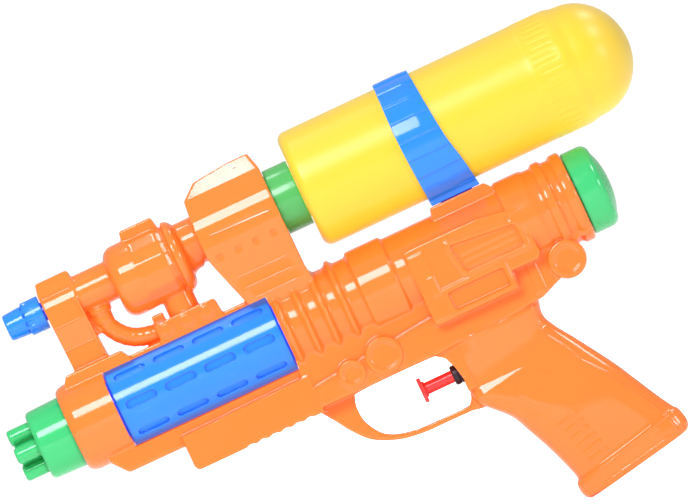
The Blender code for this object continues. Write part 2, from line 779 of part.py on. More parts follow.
def side_forms():
    """Raised side panels with their frames, front strip and tab, and the round bosses."""
    z = BARREL_Z
    left = X_RECEIVER + 6
    panel = [(left, z - 24.3, 1.5), (left, z + 8.5, 2), (-3, z + 8.5, 0), (13, z + 5.8, 1.5)]
    panel += [(14.8, z - 14.5, 2), (13, z - 16.7, 1), (0.9, z - 16.7, 0), (0.9, z - 24.3, 1.2)]
    window = [(-20, z + 5.1, 1), (11.6, z + 1.8, 1), (12, z - 10.9, 1), (-17.6, z - 10.9, 1)]
    lower = [(-28.8, z - 11.9, 1), (-0.2, z - 11.9, 1), (0.1, z - 23.7, 1), (-28.4, z - 23.7, 1)]
    forms = [softened(slab(panel, PANEL_HALF), 0.5)]
    forms += [slab(window, PANEL_HALF + RELIEF), slab(lower, PANEL_HALF + RELIEF + 0.1)]
    tab = PANEL_HALF + RELIEF - 0.1
    forms.append(box((-35.8, -tab, z - 23.2), (-29, tab, z + 5.7)))
    tab += RELIEF / 2
    forms.append(box((-32.3, -tab, z - 13), (-29.4, tab, z - 5.4)))
    for x, height, outer, inner, half in BOSSES:
        forms.append(rod(-half, half, outer, (x, 0, height), "Y"))
    return forms


def panel_cuts():
    """Recesses of the side frames and of the round bosses."""
    z = BARREL_Z
    window = [(-18.2, z + 3.2, 0.8), (9.8, z + 0.2, 0.8), (10.2, z - 9.2, 0.8), (-16, z - 9.2, 0.8)]
    lower = [(-26.8, z - 13.8, 0.8), (-2, z - 13.8, 0.8), (-1.8, z - 21.8, 0.8), (-26.5, z - 21.8, 0.8)]
    cuts = []
    for sign in (-1, 1):
        near, far = sorted((sign * (PANEL_HALF - RELIEF), sign * (PANEL_HALF + 5)))
        cuts.append(plate([rounded(window)], near, far))
        cuts.append(plate([rounded(lower)], near, far))
        for x, height, outer, inner, half in BOSSES:
            recess = sorted((sign * (half - RELIEF), sign * (half + 5)))
            cuts.append(rod(*recess, inner, (x, 0, height), "Y"))
    return cuts


def slats():
    """Bars across the recess of the upper side frame."""
    half = PANEL_HALF - 0.1
    bars = []
    for k in range(3):
        level = BARREL_Z - 1.6 - 2.9 * k
        bars.append(box((-15.4 + 0.4 * k, -half, level - 0.7), (8.4, half, level + 0.7)))
    return bars


def inner_forms():
    """Hollows of the shells, without the places where ribs and screw posts stand."""
    z = BARREL_Z
    lower = [(X_RIBS + WALL, z - 4), (X_RIBS + WALL, z - 32), (-40, z - 32.4), (5.5, z - 29.6)]
    lower += [(15, z - 25.5), (27.5, z - 15.5), (32.5, z - 4)]
    roof, floor = z - 22.6, z - 33.8
    fore = [(X_SLEEVE + 20.6, roof), (X_SLEEVE + 20.6, floor), (X_RIBS + 5, floor), (X_RIBS + 5, roof)]
    a, b = X_SOCKET_FRONT, X_SOCKET
    leg = [(a + 11, z), (a + 10, TANK_Z - 20), (a + 5.5, TANK_Z - 12), (b - 3, TANK_Z - 12), (b - 3, z)]
    rear = [(X_RIBS + WALL, CAVITY_R), (X_RINGS - 9, CAVITY_R), (X_RINGS - 8, RING_CAVITY_R)]
    rear.append((X_REAR - WALL, RING_CAVITY_R))
    a, b = X_CHAMBER, X_CHAMBER_BACK
    bulb = [*quarter((a + WALL, CHAMBER_R - 7), (a + 6, CHAMBER_R - WALL)), (b - 8.4, CHAMBER_R - WALL)]
    bulb += quarter((b - 8.4, CHAMBER_R - WALL), (b - WALL, CHAMBER_R - 8), outward=False)[1:]
    foot, head = z + 24, TANK_Z + 8
    post = [(X_POST + 3.2, foot), (X_POST + 2, head), (X_POST_BACK - 3, head), (X_POST_BACK - 2.4, foot)]
    return [
        rod(X_RING + WALL, X_SLEEVE - WALL, RING_CAVITY_R, AXIS, steps=FINE),
        turned(rear, AXIS, steps=FINE),
        plate([lower], -RECEIVER_HALF + WALL, RECEIVER_HALF - WALL),
        plate([fore], -FOREGRIP_HALF + WALL + 0.3, FOREGRIP_HALF - WALL - 0.3),
        loft(grip_rings(WALL + 0.2)[:-3:2]),
        rod(X_POST_BACK, a + 3, PIPE_R - WALL, TANK_AXIS),
        turned(bulb, (0, 0, CHAMBER_Z), steps=SMALL),
        rod(b - 4, X_SOCKET_FRONT + 4, NECK_PIPE_R - WALL, TANK_AXIS),
        rod(X_SOCKET_FRONT + WALL, X_SOCKET - WALL, SOCKET_CAVITY_R, TANK_AXIS, steps=FINE),
        plate([leg], -9.4, 9.4),
        plate([post], -6.4, 6.4),
    ]


def stiffeners():
    """Screw posts and the two ribs that cradle the pump."""
    forms = []
    for x, height in SCREW_SPOTS:
        forms.append(rod(-30, 30, POST_R, (x, 0, height), "Y", SMALL))
    for x in (-PUMP_FRONT + 2, X_PUMP_END - 5):
        forms.append(box((x, -30, PUMP_Z - 8.5), (x + 2, 30, PUMP_Z + 8.5)))
    return forms


def through_forms():
    """Holes and bays that the other pieces sit in."""
    bay = SLEEVE_R + GAP + 0.1
    a, b = X_STRAP + STRAP_TENON_INSET - GAP, X_STRAP_BACK - STRAP_TENON_INSET + GAP
    half = STRAP_TENON_HALF + GAP
    return [
        rod(X_RING - 1, X_RING + WALL + 1, MUZZLE_R + GAP, AXIS, steps=FINE),
        box((X_SLEEVE - 0.1, -40, BARREL_Z - bay), (X_RIBS + 0.1, 40, BARREL_Z + bay)),
        rod(X_SLEEVE - WALL - 1, X_RIBS + WALL + 1, SLEEVE_SPIGOT_R + GAP, AXIS, steps=FINE),
        rod(X_REAR - WALL - 1, X_REAR + 1, CAP_SPIGOT_R + GAP, AXIS, steps=FINE),
        rod(X_SOCKET - WALL - 1, X_SOCKET + 1.5, COLLAR_SPIGOT_R + GAP, TANK_AXIS, steps=FINE),
        rod(X_POST - 1.5, X_POST + 4, TIP_SPIGOT_R + GAP, TANK_AXIS),
        rod(-PUMP_FRONT - GAP, X_PUMP_END + GAP, PUMP_BORE_R + PUMP_WALL + GAP, PUMP_AXIS),
        rod(-GLAND_FRONT, -PUMP_FRONT + 1, PUMP_BORE_R, PUMP_AXIS),
        box((a, -half, SADDLE_Z - STRAP_TENON_DEPTH - GAP), (b, half, SADDLE_Z + 2)),
    ]


def build_shells(material):
    """Two hollow halves that meet at the middle plane, screwed together from the +Y side."""
    forms = [*barrel_forms(), *lower_forms(), *upper_forms(), *side_forms()]
    forms += [socket_form(), saddle_form()]
    outside = join(forms[0], *forms[1:], solver=SHELL_SOLVER)
    outside = cut(outside, *panel_cuts(), solver=SHELL_SOLVER)
    outside = join(outside, *slats(), solver=SHELL_SOLVER)
    hollows = inner_forms()
    hollow = join(hollows[0], *hollows[1:], solver=SHELL_SOLVER)
    hollow = cut(hollow, *stiffeners(), solver=SHELL_SOLVER)
    shell = cut(outside, hollow, *through_forms(), solver=SHELL_SOLVER)
    far = 400
    left_side = box((-far, -PARTING, -far), (far, far, far))
    right_side = box((-far, -far, -far), (far, PARTING, far))
    left = cut(duplicate(shell), left_side, solver=SHELL_SOLVER)
    right = cut(shell, right_side, solver=SHELL_SOLVER)
    pilots, wells = [], []
    for x, height in SCREW_SPOTS:
        at = (x, 0, height)
        pilots.append(rod(-SCREW_REACH - 1, 1, SCREW_R + GAP, at, "Y", SMALL))
        wells.append(rod(-1, SCREW_SEAT + 1, SCREW_R + GAP, at, "Y", SMALL))
        wells.append(rod(SCREW_SEAT, 40, SCREW_HEAD_R + GAP, at, "Y", SMALL))
    left = cut(left, *pilots, solver=SHELL_SOLVER)
    right = cut(right, *wells, solver=SHELL_SOLVER)
    publish(left, "left_shell", material)
    publish(right, "right_shell", material)


def build_screws(material):
    """Pan-head screws in the wells of the right shell."""
    seat = SCREW_SEAT + GAP
    top = seat + SCREW_HEAD_HEIGHT
    profile = [(-SCREW_REACH, SCREW_R), (seat, SCREW_R)]
    profile += [(seat, SCREW_HEAD_R), (top - 0.6, SCREW_HEAD_R), (top, SCREW_HEAD_R - 0.7)]
    for k, (x, height) in enumerate(SCREW_SPOTS, 1):
        screw = turned(profile, (x, 0, height), "Y", SMALL)
        publish(screw, f"shell_screw_{k}", material, (x, 0, height))


def build_front(green, blue, white):
    """Muzzle with its prongs, the water jet inside it, the sleeve and the false upper nozzle."""
    face = X_RING - MUZZLE_LENGTH
    flange = X_RING + WALL + GAP
    inner = MUZZLE_R - 2.6
    lip = RING_CAVITY_R - GAP
    floor = face + JET_SEAT
    cup = [(face, 0), (face, MUZZLE_R - 1.8), (face + 0.8, MUZZLE_R - 0.7), (face + 2.2, MUZZLE_R - 0.4)]
    cup += [(X_RING, MUZZLE_R), (flange, MUZZLE_R), (flange, lip), (flange + 2, lip)]
    cup += [(flange + 2, MUZZLE_R - 0.6), (flange + 6, MUZZLE_R - 0.6), (flange + 6, inner)]
    muzzle = turned([*cup, (floor, inner), (floor, 0)], AXIS)
    bars = []
    for k in range(4):
        angle = math.radians(90 * k)
        across, up = PRONG_CIRCLE_R * math.cos(angle), PRONG_CIRCLE_R * math.sin(angle)
        tip = face - PRONG_LENGTH
        prong = [(tip, PRONG_R - 0.8), (tip + 0.8, PRONG_R), (face + 1, PRONG_R)]
        bars.append(turned(prong, (0, across, BARREL_Z + up), steps=ROUND - 4))
    bars.append(rod(face - PRONG_LENGTH + 0.8, face + 1, PRONG_R - 0.3, AXIS, steps=ROUND - 4))
    muzzle = join(muzzle, *bars, solver=SHELL_SOLVER)
    hole = rod(face - PRONG_LENGTH - 1, face + 4, BARB_R + GAP, AXIS)
    muzzle = cut(muzzle, hole, solver=SHELL_SOLVER)
    publish(muzzle, "muzzle", green, AXIS)

    back = floor + GAP
    tip = face - PRONG_LENGTH + 1.6
    end = back + JET_FLANGE + 2 * BARB_LENGTH
    jet = [(tip, BARB_R - 0.3), (tip + 0.4, BARB_R), (back, BARB_R), (back, 5)]
    jet += [(back + JET_FLANGE, 5), (back + JET_FLANGE, BARB_R), (end, BARB_R)]
    jet += [(end, BARB_BORE_R), (tip, BARB_BORE_R)]
    publish(turned(jet, AXIS, steps=SMALL, ring=True), "jet_nozzle", white, AXIS)

    front, rear = X_SLEEVE + GAP - 0.1, X_RIBS - GAP + 0.1
    core = SLEEVE_R - SLEEVE_WALL
    start, stop, spigot = front - SPIGOT_LENGTH, rear + SPIGOT_LENGTH, SLEEVE_SPIGOT_R
    wall = [(start, spigot), (front, spigot), (front, SLEEVE_R - 0.5), (front + 0.5, SLEEVE_R)]
    wall += [(rear - 0.5, SLEEVE_R), (rear, SLEEVE_R - 0.5), (rear, spigot)]
    wall += [(stop, spigot), (stop, core), (start, core)]
    sleeve = turned(wall, AXIS, ring=True)
    pockets = []
    middle = (front + rear) / 2
    for i in range(POCKET_COUNT):
        centre = middle + (i - (POCKET_COUNT - 1) / 2) * POCKET_PITCH
        for side in (90, -90):
            for row in (-POCKET_ROW_ANGLE, 0, POCKET_ROW_ANGLE):
                low = BARREL_Z + SLEEVE_R - POCKET_DEPTH
                slot = capsule(POCKET_LENGTH, POCKET_WIDTH, centre)
                pocket = plate([slot], low, low + 4, "Z")
                pockets.append(spun(pocket, side + row, AXIS))
    publish(cut(sleeve, *pockets), "barrel_sleeve", blue, AXIS)

    start = X_POST - TIP_LENGTH
    shoulder = X_POST - 8.6
    tail = X_POST + 3 + GAP
    seat = X_POST - 2 * GAP
    tip = [(start, 0), (start, TIP_R - 2.4), (start + 0.8, TIP_R - 1.6), (shoulder, TIP_R - 1.1)]
    tip += [(shoulder + 0.6, TIP_R - 0.1), (seat, TIP_R + 0.2), (seat, TIP_SPIGOT_R), (tail, TIP_SPIGOT_R)]
    tip += [(tail, TIP_SPIGOT_R + 1.4), (tail + 1.6, TIP_SPIGOT_R + 1.4)]
    nozzle = turned(tip, TANK_AXIS, steps=ROUND)
    ribs = []
    crest = TANK_Z + TIP_R + 0.6
    for k in range(TIP_RIBS):
        rib = box((shoulder - 0.6, -0.8, crest - 2.6), (seat - 0.2, 0.8, crest))
        ribs.append(spun(rib, 360 / TIP_RIBS * k, TANK_AXIS))
    nozzle = join(nozzle, *ribs)
    nozzle = cut(nozzle, rod(start - 1, start + 5, 2.6, TANK_AXIS, steps=SMALL))
    publish(nozzle, "upper_nozzle", blue, TANK_AXIS)


def build_rear_cap(material):
    """Domed plug in the rear end of the barrel."""
    face = X_REAR + GAP
    end = X_REAR + CAP_LENGTH
    rim = end - 2.6
    flange = X_REAR - WALL - GAP
    lip = RING_CAVITY_R - GAP
    core = CAP_SPIGOT_R - WALL
    dome = CAP_R - 4
    cup = [(end, 0), (end - 0.3, dome - 8.8), (end - 1.2, dome - 4.2), (rim, dome - 0.4)]
    cup += quarter((rim, dome), (rim - 4, CAP_R))
    cup += [(face, CAP_R), (face, CAP_SPIGOT_R), (flange, CAP_SPIGOT_R), (flange, lip)]
    cup += [(flange - 2, lip), (flange - 2, core), (rim - 3, core), (end - 2.4, core - 7), (end - 2, 0)]
    publish(turned(cup, AXIS), "rear_cap", material, AXIS)


def build_tank(yellow, leaf, blue, rubber):
    """Tank with its open neck, the collar it screws into, the seal and the strap."""
    rear = X_TANK + TANK_LENGTH
    dome = rear - 22.4
    band = X_TANK + TANK_LENGTH - TANK_BAND_START
    outer = [(rear, 0)]
    for k in range(1, 6):
        t = math.pi / 2 * k / 5
        outer.append((dome + (rear - dome) * math.cos(t), (TANK_R - 0.9) * math.sin(t)))
    proud = TANK_R + 0.25
    outer += [(dome - 3.4, TANK_R - 0.6), (dome - 4.6, proud), (band + 0.6, proud), (band, TANK_R)]
    outer += quarter((X_TANK + 4.6, TANK_R), (X_TANK, TANK_R - 5), outward=False)
    outer += [(X_TANK, NECK_R), (X_TANK - NECK_LENGTH, NECK_R)]
    inside = TANK_R - TANK_WALL
    bore = NECK_R - 2.2
    lining = X_TANK + TANK_WALL
    outer += [(X_TANK - NECK_LENGTH, bore), (lining, bore), (lining, inside - 5)]
    outer += [(X_TANK + 6, inside), (dome - 1, inside - 0.6)]
    for k in range(3, 0, -1):
        t = math.pi / 2 * k / 4
        outer.append((dome + (rear - TANK_WALL - dome) * math.cos(t), (inside - 1) * math.sin(t)))
    tank = turned([*outer, (rear - TANK_WALL, 0)], TANK_AXIS)
    publish(tank, "tank", yellow, (X_TANK, 0, TANK_Z))

    mouth = X_TANK - GAP
    shoulder = X_SOCKET + GAP
    catch = X_SOCKET - WALL - GAP
    floor = X_TANK - NECK_LENGTH - GASKET_SPACE
    nose = floor - COLLAR_FLOOR
    socket = NECK_R + GAP + 0.1
    barb = nose - BARB_LENGTH
    lip, cup = SOCKET_CAVITY_R - GAP, COLLAR_SPIGOT_R + 0.6
    ring = [(mouth, COLLAR_R), (shoulder, COLLAR_R)]
    ring += [(shoulder, COLLAR_SPIGOT_R), (catch, COLLAR_SPIGOT_R), (catch, lip), (catch - 2, lip)]
    ring += [(catch - 2, cup), (nose, cup), (nose, BARB_R), (barb, BARB_R)]
    ring += [(barb, BARB_BORE_R), (floor, BARB_BORE_R), (floor, socket), (mouth, socket)]
    publish(turned(ring, TANK_AXIS, steps=FINE, ring=True), "tank_collar", leaf, TANK_AXIS)

    low, high = floor + GAP, X_TANK - NECK_LENGTH - GAP
    washer = [(low, bore), (low, NECK_R), (high, NECK_R), (high, bore)]
    gasket = turned(washer, TANK_AXIS, steps=ROUND, ring=True)
    publish(gasket, "tank_gasket", rubber, (X_TANK, 0, TANK_Z))

    inner = TANK_R + GAP + 0.1
    teeth = []
    for k in range(STRAP_PADS):
        for share in (0.03, 0.5, 0.97):
            t = 2 * math.pi * (k + share) / STRAP_PADS
            r = inner + STRAP_THICKNESS - STRAP_PAD_STEP * (1 - share)
            teeth.append((r * math.sin(t), TANK_Z + r * math.cos(t)))
    hole = rod(X_STRAP - 20, X_STRAP_BACK + 20, inner, TANK_AXIS, steps=FINE)
    hoop = plate([teeth], X_STRAP - 6, X_STRAP_BACK + 6, "X")
    sole = SADDLE_Z + GAP
    top = TANK_Z - TANK_R + 4
    foot = [(-9.6, sole), (9.6, sole), (13.5, top), (-13.5, top)]
    foot = plate([foot], X_STRAP - 6, X_STRAP_BACK + 6, "X")
    crown = TANK_Z + TANK_R + 4
    top_back = X_STRAP - 1.4 + STRAP_TOP_WIDTH
    side = [(X_STRAP, sole - 2), (X_STRAP - 1.4, TANK_Z - 14), (X_STRAP - 2.2, TANK_Z + 5)]
    side += [(X_STRAP - 1.4, crown), (top_back, crown), (top_back + 1.4, TANK_Z + 10)]
    side += [(X_STRAP_BACK - 5, TANK_Z - 4.8), (X_STRAP_BACK - 2.4, TANK_Z - 16.8)]
    side.append((X_STRAP_BACK, sole - 2))
    strap = trim(join(hoop, foot), plate([side], -40, 40))
    strap = cut(strap, hole)
    a, b, half = X_STRAP + STRAP_TENON_INSET, X_STRAP_BACK - STRAP_TENON_INSET, STRAP_TENON_HALF
    strap = join(strap, box((a, -half, SADDLE_Z - STRAP_TENON_DEPTH), (b, half, sole + 0.8)))
    publish(strap, "tank_strap", blue, TANK_AXIS)


def build_pump(red, black, white, steel):
    """Trigger with its piston, gland, cylinder, spring, valve body and check balls."""
    face = -TRIGGER_FACE
    half, side = TRIGGER_HEIGHT / 2, TRIGGER_WIDTH / 2
    pad = box((face, -side, PUMP_Z - half), (face + TRIGGER_THICKNESS, side, PUMP_Z + half))
    groove = PUMP_BORE_R - 1.5
    a, b = X_PISTON, X_PISTON_BACK
    head = PUMP_BORE_R - GAP
    plunger = [(face + 0.8, ROD_R), (a, ROD_R), (a, head), (a + 1.1, head)]
    plunger += [(a + 1.1, groove), (b - 1.1, groove), (b - 1.1, head), (b, head)]
    trigger = join(softened(pad, 0.5), turned(plunger, PUMP_AXIS, steps=ROUND))
    publish(trigger, "trigger", red, (face, 0, PUMP_Z))

    low, high = a + 1.1 + GAP, b - 1.1 - GAP
    inner, outer = groove + GAP, PUMP_BORE_R - 0.15
    seal = [(low, inner), (low, outer), (high, outer), (high, inner)]
    publish(turned(seal, PUMP_AXIS, steps=ROUND, ring=True), "piston_seal", black, (face, 0, PUMP_Z))

    front, back = -GLAND_FRONT, -GLAND_FRONT + GLAND_LENGTH
    rim = PUMP_BORE_R - GAP
    gland = [(front, ROD_R + GAP), (front, rim - 0.7), (front + 0.7, rim), (back, rim), (back, ROD_R + GAP)]
    publish(turned(gland, PUMP_AXIS, steps=ROUND, ring=True), "pump_gland", black, PUMP_AXIS)

    skin = PUMP_BORE_R + PUMP_WALL
    mouth = -PUMP_FRONT
    end = X_PUMP_END
    barrel = [(mouth, PUMP_BORE_R), (mouth, skin), (end, skin), (end, NIPPLE_R), (end + 2, NIPPLE_R)]
    barrel += [(end + 2, BARB_BORE_R), (X_PUMP_FLOOR, BARB_BORE_R), (X_PUMP_FLOOR, PUMP_BORE_R)]
    publish(turned(barrel, PUMP_AXIS, steps=ROUND, ring=True), "pump_cylinder", white, PUMP_AXIS)

    start, stop = b + SPRING_WIRE_R + GAP, X_PUMP_FLOOR - SPRING_WIRE_R - GAP
    coil = []
    turn = 8
    count = SPRING_TURNS * turn
    coil_r = PUMP_BORE_R - 1.2
    for k in range(count + 1):
        t = 2 * math.pi * k / turn
        across, up = coil_r * math.cos(t), coil_r * math.sin(t)
        coil.append((start + (stop - start) * k / count, across, PUMP_Z + up))
    print("least gap between the turns of return_spring, mm:", least_gap(coil, SPRING_WIRE_R, turn))
    spring = tube(coil, SPRING_WIRE_R, resolution=0)
    publish(spring, "return_spring", steel, (X_PUMP_FLOOR, 0, PUMP_Z))

    z, high = PUMP_Z, VALVE_HALF_HEIGHT
    cage = BALL_R + 0.5
    lean = cage - BARB_BORE_R
    seat_low, seat_high = z - high + 1.4, z + 2.8
    top, bottom, bore = z + high + BARB_LENGTH, z - high - BARB_LENGTH, BARB_BORE_R
    column = [(bottom, BARB_R), (z - high, BARB_R), (z - high, VALVE_R), (z + high, VALVE_R)]
    column += [(z + high, BARB_R), (top, BARB_R), (top, bore)]
    for roof, seat in ((z + high - 1.2, seat_high), (z - 1.2, seat_low)):
        column += [(roof, bore), (roof - lean, cage), (seat + lean, cage), (seat, bore)]
    column.append((bottom, bore))
    at = (X_VALVE, 0, 0)
    valve = turned(column, at, "Z", SMALL + 2, ring=True)
    valve = cut(
        valve,
        rod(X_VALVE - VALVE_R - 1, X_PUMP_END + 2 + GAP, NIPPLE_R + GAP, PUMP_AXIS),
        rod(X_VALVE - VALVE_R, X_VALVE, BARB_BORE_R, PUMP_AXIS, steps=SMALL),
    )
    publish(valve, "valve_body", white, at)
    for name, seat in (("inlet_ball", seat_low), ("outlet_ball", seat_high)):
        rest = seat + (BALL_R + GAP) * math.sqrt(2) - BARB_BORE_R
        spot = (X_VALVE, 0, rest)
        publish(ball(BALL_R, spot), name, steel, spot)


def build_hoses(material):
    """Soft hoses from the tank collar to the pump inlet and from the pump outlet to the jet."""
    skin = (BARB_R + GAP) / math.cos(math.pi / 6) + HOSE_WALL
    top = PUMP_Z + VALVE_HALF_HEIGHT + GAP
    jet = X_RING - MUZZLE_LENGTH + JET_SEAT + JET_FLANGE + 2 * GAP
    z = BARREL_Z
    path = [(jet, 0, z), (jet + 12, 0, z), (-110, 0, z), (-60, 0, z - 1), (-32, 0, z - 4), (-15, 0, z - 13)]
    path += [(X_VALVE - 0.6, 0, top + 16), (X_VALVE, 0, top + 6), (X_VALVE, 0, top)]
    publish(tube(path, skin, HOSE_WALL), "outlet_hose", material)

    collar = X_TANK - NECK_LENGTH - GASKET_SPACE - COLLAR_FLOOR - GAP
    low = PUMP_Z - VALVE_HALF_HEIGHT - GAP
    path = [(collar, 0, TANK_Z), (collar - 5, 0, TANK_Z), (collar - 8, 0, TANK_Z - 0.2)]
    path += [(collar - 12, 1, TANK_Z - 4), (collar - 12, 2, TANK_Z - 12), (-94, 3, z + 28.5)]
    path += [(-86, 5, z + 16.5), (-76, 6.5, z + 4.5), (-62, 6.6, z - 6.5), (-40, 6.6, z - 15.5)]
    path += [(-20, 6.6, z - 20.5), (-6, 5.6, z - 25.5), (-0.7, 1.5, z - 34.5), (-0.7, 0, z - 44.5)]
    path += [(4, 0, z - 57.5), (12, 0, z - 70.5), (12, 0, z - 83.5), (2, 0, z - 90), (-7, 0, z - 84.5)]
    path += [(X_VALVE, 0, low - 16.4), (X_VALVE, 0, low - 6), (X_VALVE, 0, low)]
    publish(tube(path, skin, HOSE_WALL), "intake_hose", material)


orange = plastic("orange_plastic", ORANGE, 0.3)
blue = plastic("blue_plastic", BLUE, 0.3)
yellow = plastic("yellow_plastic", YELLOW, 0.25)
green = plastic("green_plastic", GREEN, 0.3)
leaf = plastic("leaf_green_plastic", LEAF, 0.3)
red = plastic("red_plastic", RED, 0.3)
black = plastic("black_plastic", BLACK, 0.4)
white = plastic("white_plastic", CLEAR_WHITE, 0.35)
steel = plastic("steel", STEEL, 0.3, 1.0)

build_shells(orange)
build_screws(steel)
build_front(green, blue, white)
build_rear_cap(green)
build_tank(yellow, leaf, blue, black)
build_pump(red, black, white, steel)
build_hoses(white)
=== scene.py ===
import math

import bmesh
import bpy
import numpy as np
from mathutils import Matrix, Vector


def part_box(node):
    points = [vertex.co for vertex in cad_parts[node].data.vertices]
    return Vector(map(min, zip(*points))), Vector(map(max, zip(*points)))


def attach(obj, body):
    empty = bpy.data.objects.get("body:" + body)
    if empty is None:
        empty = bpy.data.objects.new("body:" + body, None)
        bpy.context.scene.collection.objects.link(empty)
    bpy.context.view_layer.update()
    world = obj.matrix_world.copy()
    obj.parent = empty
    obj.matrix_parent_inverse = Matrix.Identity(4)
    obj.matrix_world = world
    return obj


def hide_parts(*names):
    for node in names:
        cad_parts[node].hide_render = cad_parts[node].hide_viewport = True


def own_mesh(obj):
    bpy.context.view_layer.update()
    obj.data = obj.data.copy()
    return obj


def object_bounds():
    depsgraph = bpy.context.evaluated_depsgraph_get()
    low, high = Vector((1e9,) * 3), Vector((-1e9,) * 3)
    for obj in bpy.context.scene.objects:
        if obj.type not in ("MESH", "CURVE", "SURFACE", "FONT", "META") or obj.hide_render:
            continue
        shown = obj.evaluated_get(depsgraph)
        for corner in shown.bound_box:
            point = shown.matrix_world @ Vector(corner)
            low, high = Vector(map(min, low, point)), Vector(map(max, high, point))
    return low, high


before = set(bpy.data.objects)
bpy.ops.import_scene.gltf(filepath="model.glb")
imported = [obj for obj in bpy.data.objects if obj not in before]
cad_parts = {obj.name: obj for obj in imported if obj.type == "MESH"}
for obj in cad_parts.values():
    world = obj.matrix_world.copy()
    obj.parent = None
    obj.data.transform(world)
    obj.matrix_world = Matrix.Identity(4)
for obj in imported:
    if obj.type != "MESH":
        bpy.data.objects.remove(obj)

# Looks of the toy water squirter. Sizes are in millimetres, X runs along the barrel with the
# muzzle at -X, Z is up and Y = 0 is the plane where the two shells meet.

cad_low, cad_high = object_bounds()
MM = 0.001


def span(node):
    """Lowest and highest corner of a CAD node, in millimetres."""
    low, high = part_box(node)
    return low / MM, high / MM


# Fits and walls
GAP = 0.3
PARTING = 0.04
WALL = 2.0
SLEEVE_PLAY = 0.2
TANK_SETBACK = 1.0

# Sizes of the round pieces
BARREL_R = 17.2
RING_R = 18.8
RECEIVER_R = 17.6
SLEEVE_R = 16.5
SLEEVE_WALL = 2.6
SPIGOT_LENGTH = 4.0
MUZZLE_R = 15.2
MUZZLE_LENGTH = 15.0
PRONG_LENGTH = 10.0
PRONG_R = 3.5
PRONG_CIRCLE_R = 7.7
CAP_R = 17.8
CAP_LENGTH = 14.5
PIPE_R = 8.2
NECK_PIPE_R = 10.3
CHAMBER_R = 15.4
CHAMBER_DROP = 2.7
CHAMBER_LENGTH = 36.6
TIP_R = 7.2
TIP_LENGTH = 17.0
TIP_SPIGOT_R = 4.0
COLLAR_R = 14.1
COLLAR_LENGTH = 9.8
TANK_R = 25.15
TANK_WALL = 1.6
NECK_R = 11.0
NECK_LENGTH = 15.5
STRAP_THICKNESS = 2.0
PUMP_BORE_R = 4.5
PUMP_WALL = 1.1
ROD_R = 2.6
JET_R = 1.7

# Half widths of the flat forms of the shells
KEEL_HALF = 10.4
FOREGRIP_HALF = 12.6
RECEIVER_HALF = 12.2
STEP_HALF = 13.2
GUARD_HALF = 5.6
PANEL_HALF = 18.2
RELIEF = 0.6

# Lengths along the barrel and the upper line, and the seat of the strap
RIBBED_LENGTH = 36.3
BAND_LENGTH = 15.9
RINGS_LENGTH = 18.5
POST_LENGTH = 14.6
CHAMBER_OFFSET = 41.0
SOCKET_LENGTH = 34.8
STRAP_BOW = 2.2
SADDLE_DROP = 3.55
TENON_INSET = 4
TENON_HALF = 5
TENON_DEPTH = 3.5

# Places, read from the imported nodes
sleeve_low, sleeve_high = span("barrel_sleeve")
tank_low, tank_high = span("tank")
pump_low, pump_high = span("pump_cylinder")
strap_low, strap_high = span("tank_strap")
trigger_low, trigger_high = span("trigger")
gland_low, gland_high = span("pump_gland")
spring_low, spring_high = span("return_spring")
BARREL_Z = (sleeve_low.z + sleeve_high.z) / 2
TANK_Z = (tank_low.z + tank_high.z) / 2
PUMP_Z = (pump_low.z + pump_high.z) / 2
CHAMBER_Z = TANK_Z - CHAMBER_DROP
X_RING = span("muzzle")[0].x + PRONG_LENGTH + MUZZLE_LENGTH
X_SLEEVE = sleeve_low.x + SPIGOT_LENGTH - SLEEVE_PLAY
X_RIBS = sleeve_high.x - SPIGOT_LENGTH + SLEEVE_PLAY
X_REAR = span("rear_cap")[1].x - CAP_LENGTH
X_BAND = X_RIBS + RIBBED_LENGTH
X_RECEIVER = X_BAND + BAND_LENGTH
X_RINGS = X_REAR - RINGS_LENGTH
X_POST = span("upper_nozzle")[0].x + TIP_LENGTH
X_POST_BACK = X_POST + POST_LENGTH
X_CHAMBER = X_RING + CHAMBER_OFFSET
X_CHAMBER_BACK = X_CHAMBER + CHAMBER_LENGTH
X_TANK = tank_low.x + NECK_LENGTH
X_SOCKET = X_TANK - COLLAR_LENGTH - 2 * GAP
X_SOCKET_FRONT = X_SOCKET - SOCKET_LENGTH
X_STRAP = strap_low.x + STRAP_BOW
X_STRAP_BACK = strap_high.x
SADDLE_Z = TANK_Z - TANK_R - SADDLE_DROP
ELBOW_X, ELBOW_Z = X_POST_BACK + 5.8, TANK_Z - 15
CAVITY_R = BARREL_R - WALL
RING_CAVITY_R = RING_R - WALL - 0.2
SLEEVE_SPIGOT_R = SLEEVE_R - 1.8
CAP_SPIGOT_R = CAP_R - 2.8
COLLAR_SPIGOT_R = COLLAR_R - 2.1
SOCKET_CAVITY_R = COLLAR_R - 0.8
AXIS = (0, 0, BARREL_Z)
TANK_AXIS = (0, 0, TANK_Z)
PUMP_AXIS = (0, 0, PUMP_Z)

# Fineness of round forms, in steps round
FINE = 96
ROUND = 56
SMALL = 32

# Reach of welds in millimetres, and the angle in degrees from which edges are rounded
WELD = 0.002
SOFT_ANGLE = 40

bench = bpy.data.collections.new("bench")
bpy.context.scene.collection.children.link(bench)

FACING = {
    "X": Matrix(((0, 0, 1, 0), (1, 0, 0, 0), (0, 1, 0, 0), (0, 0, 0, 1))),
    "Y": Matrix(((1, 0, 0, 0), (0, 0, -1, 0), (0, 1, 0, 0), (0, 0, 0, 1))),
    "Z": Matrix.Identity(4),
}


# Making meshes


def helper(data, matrix=None):
    """Puts a mesh or curve on the bench as an object."""
    obj = bpy.data.objects.new("form", data)
    obj.matrix_world = matrix or Matrix.Identity(4)
    bench.objects.link(obj)
    return obj


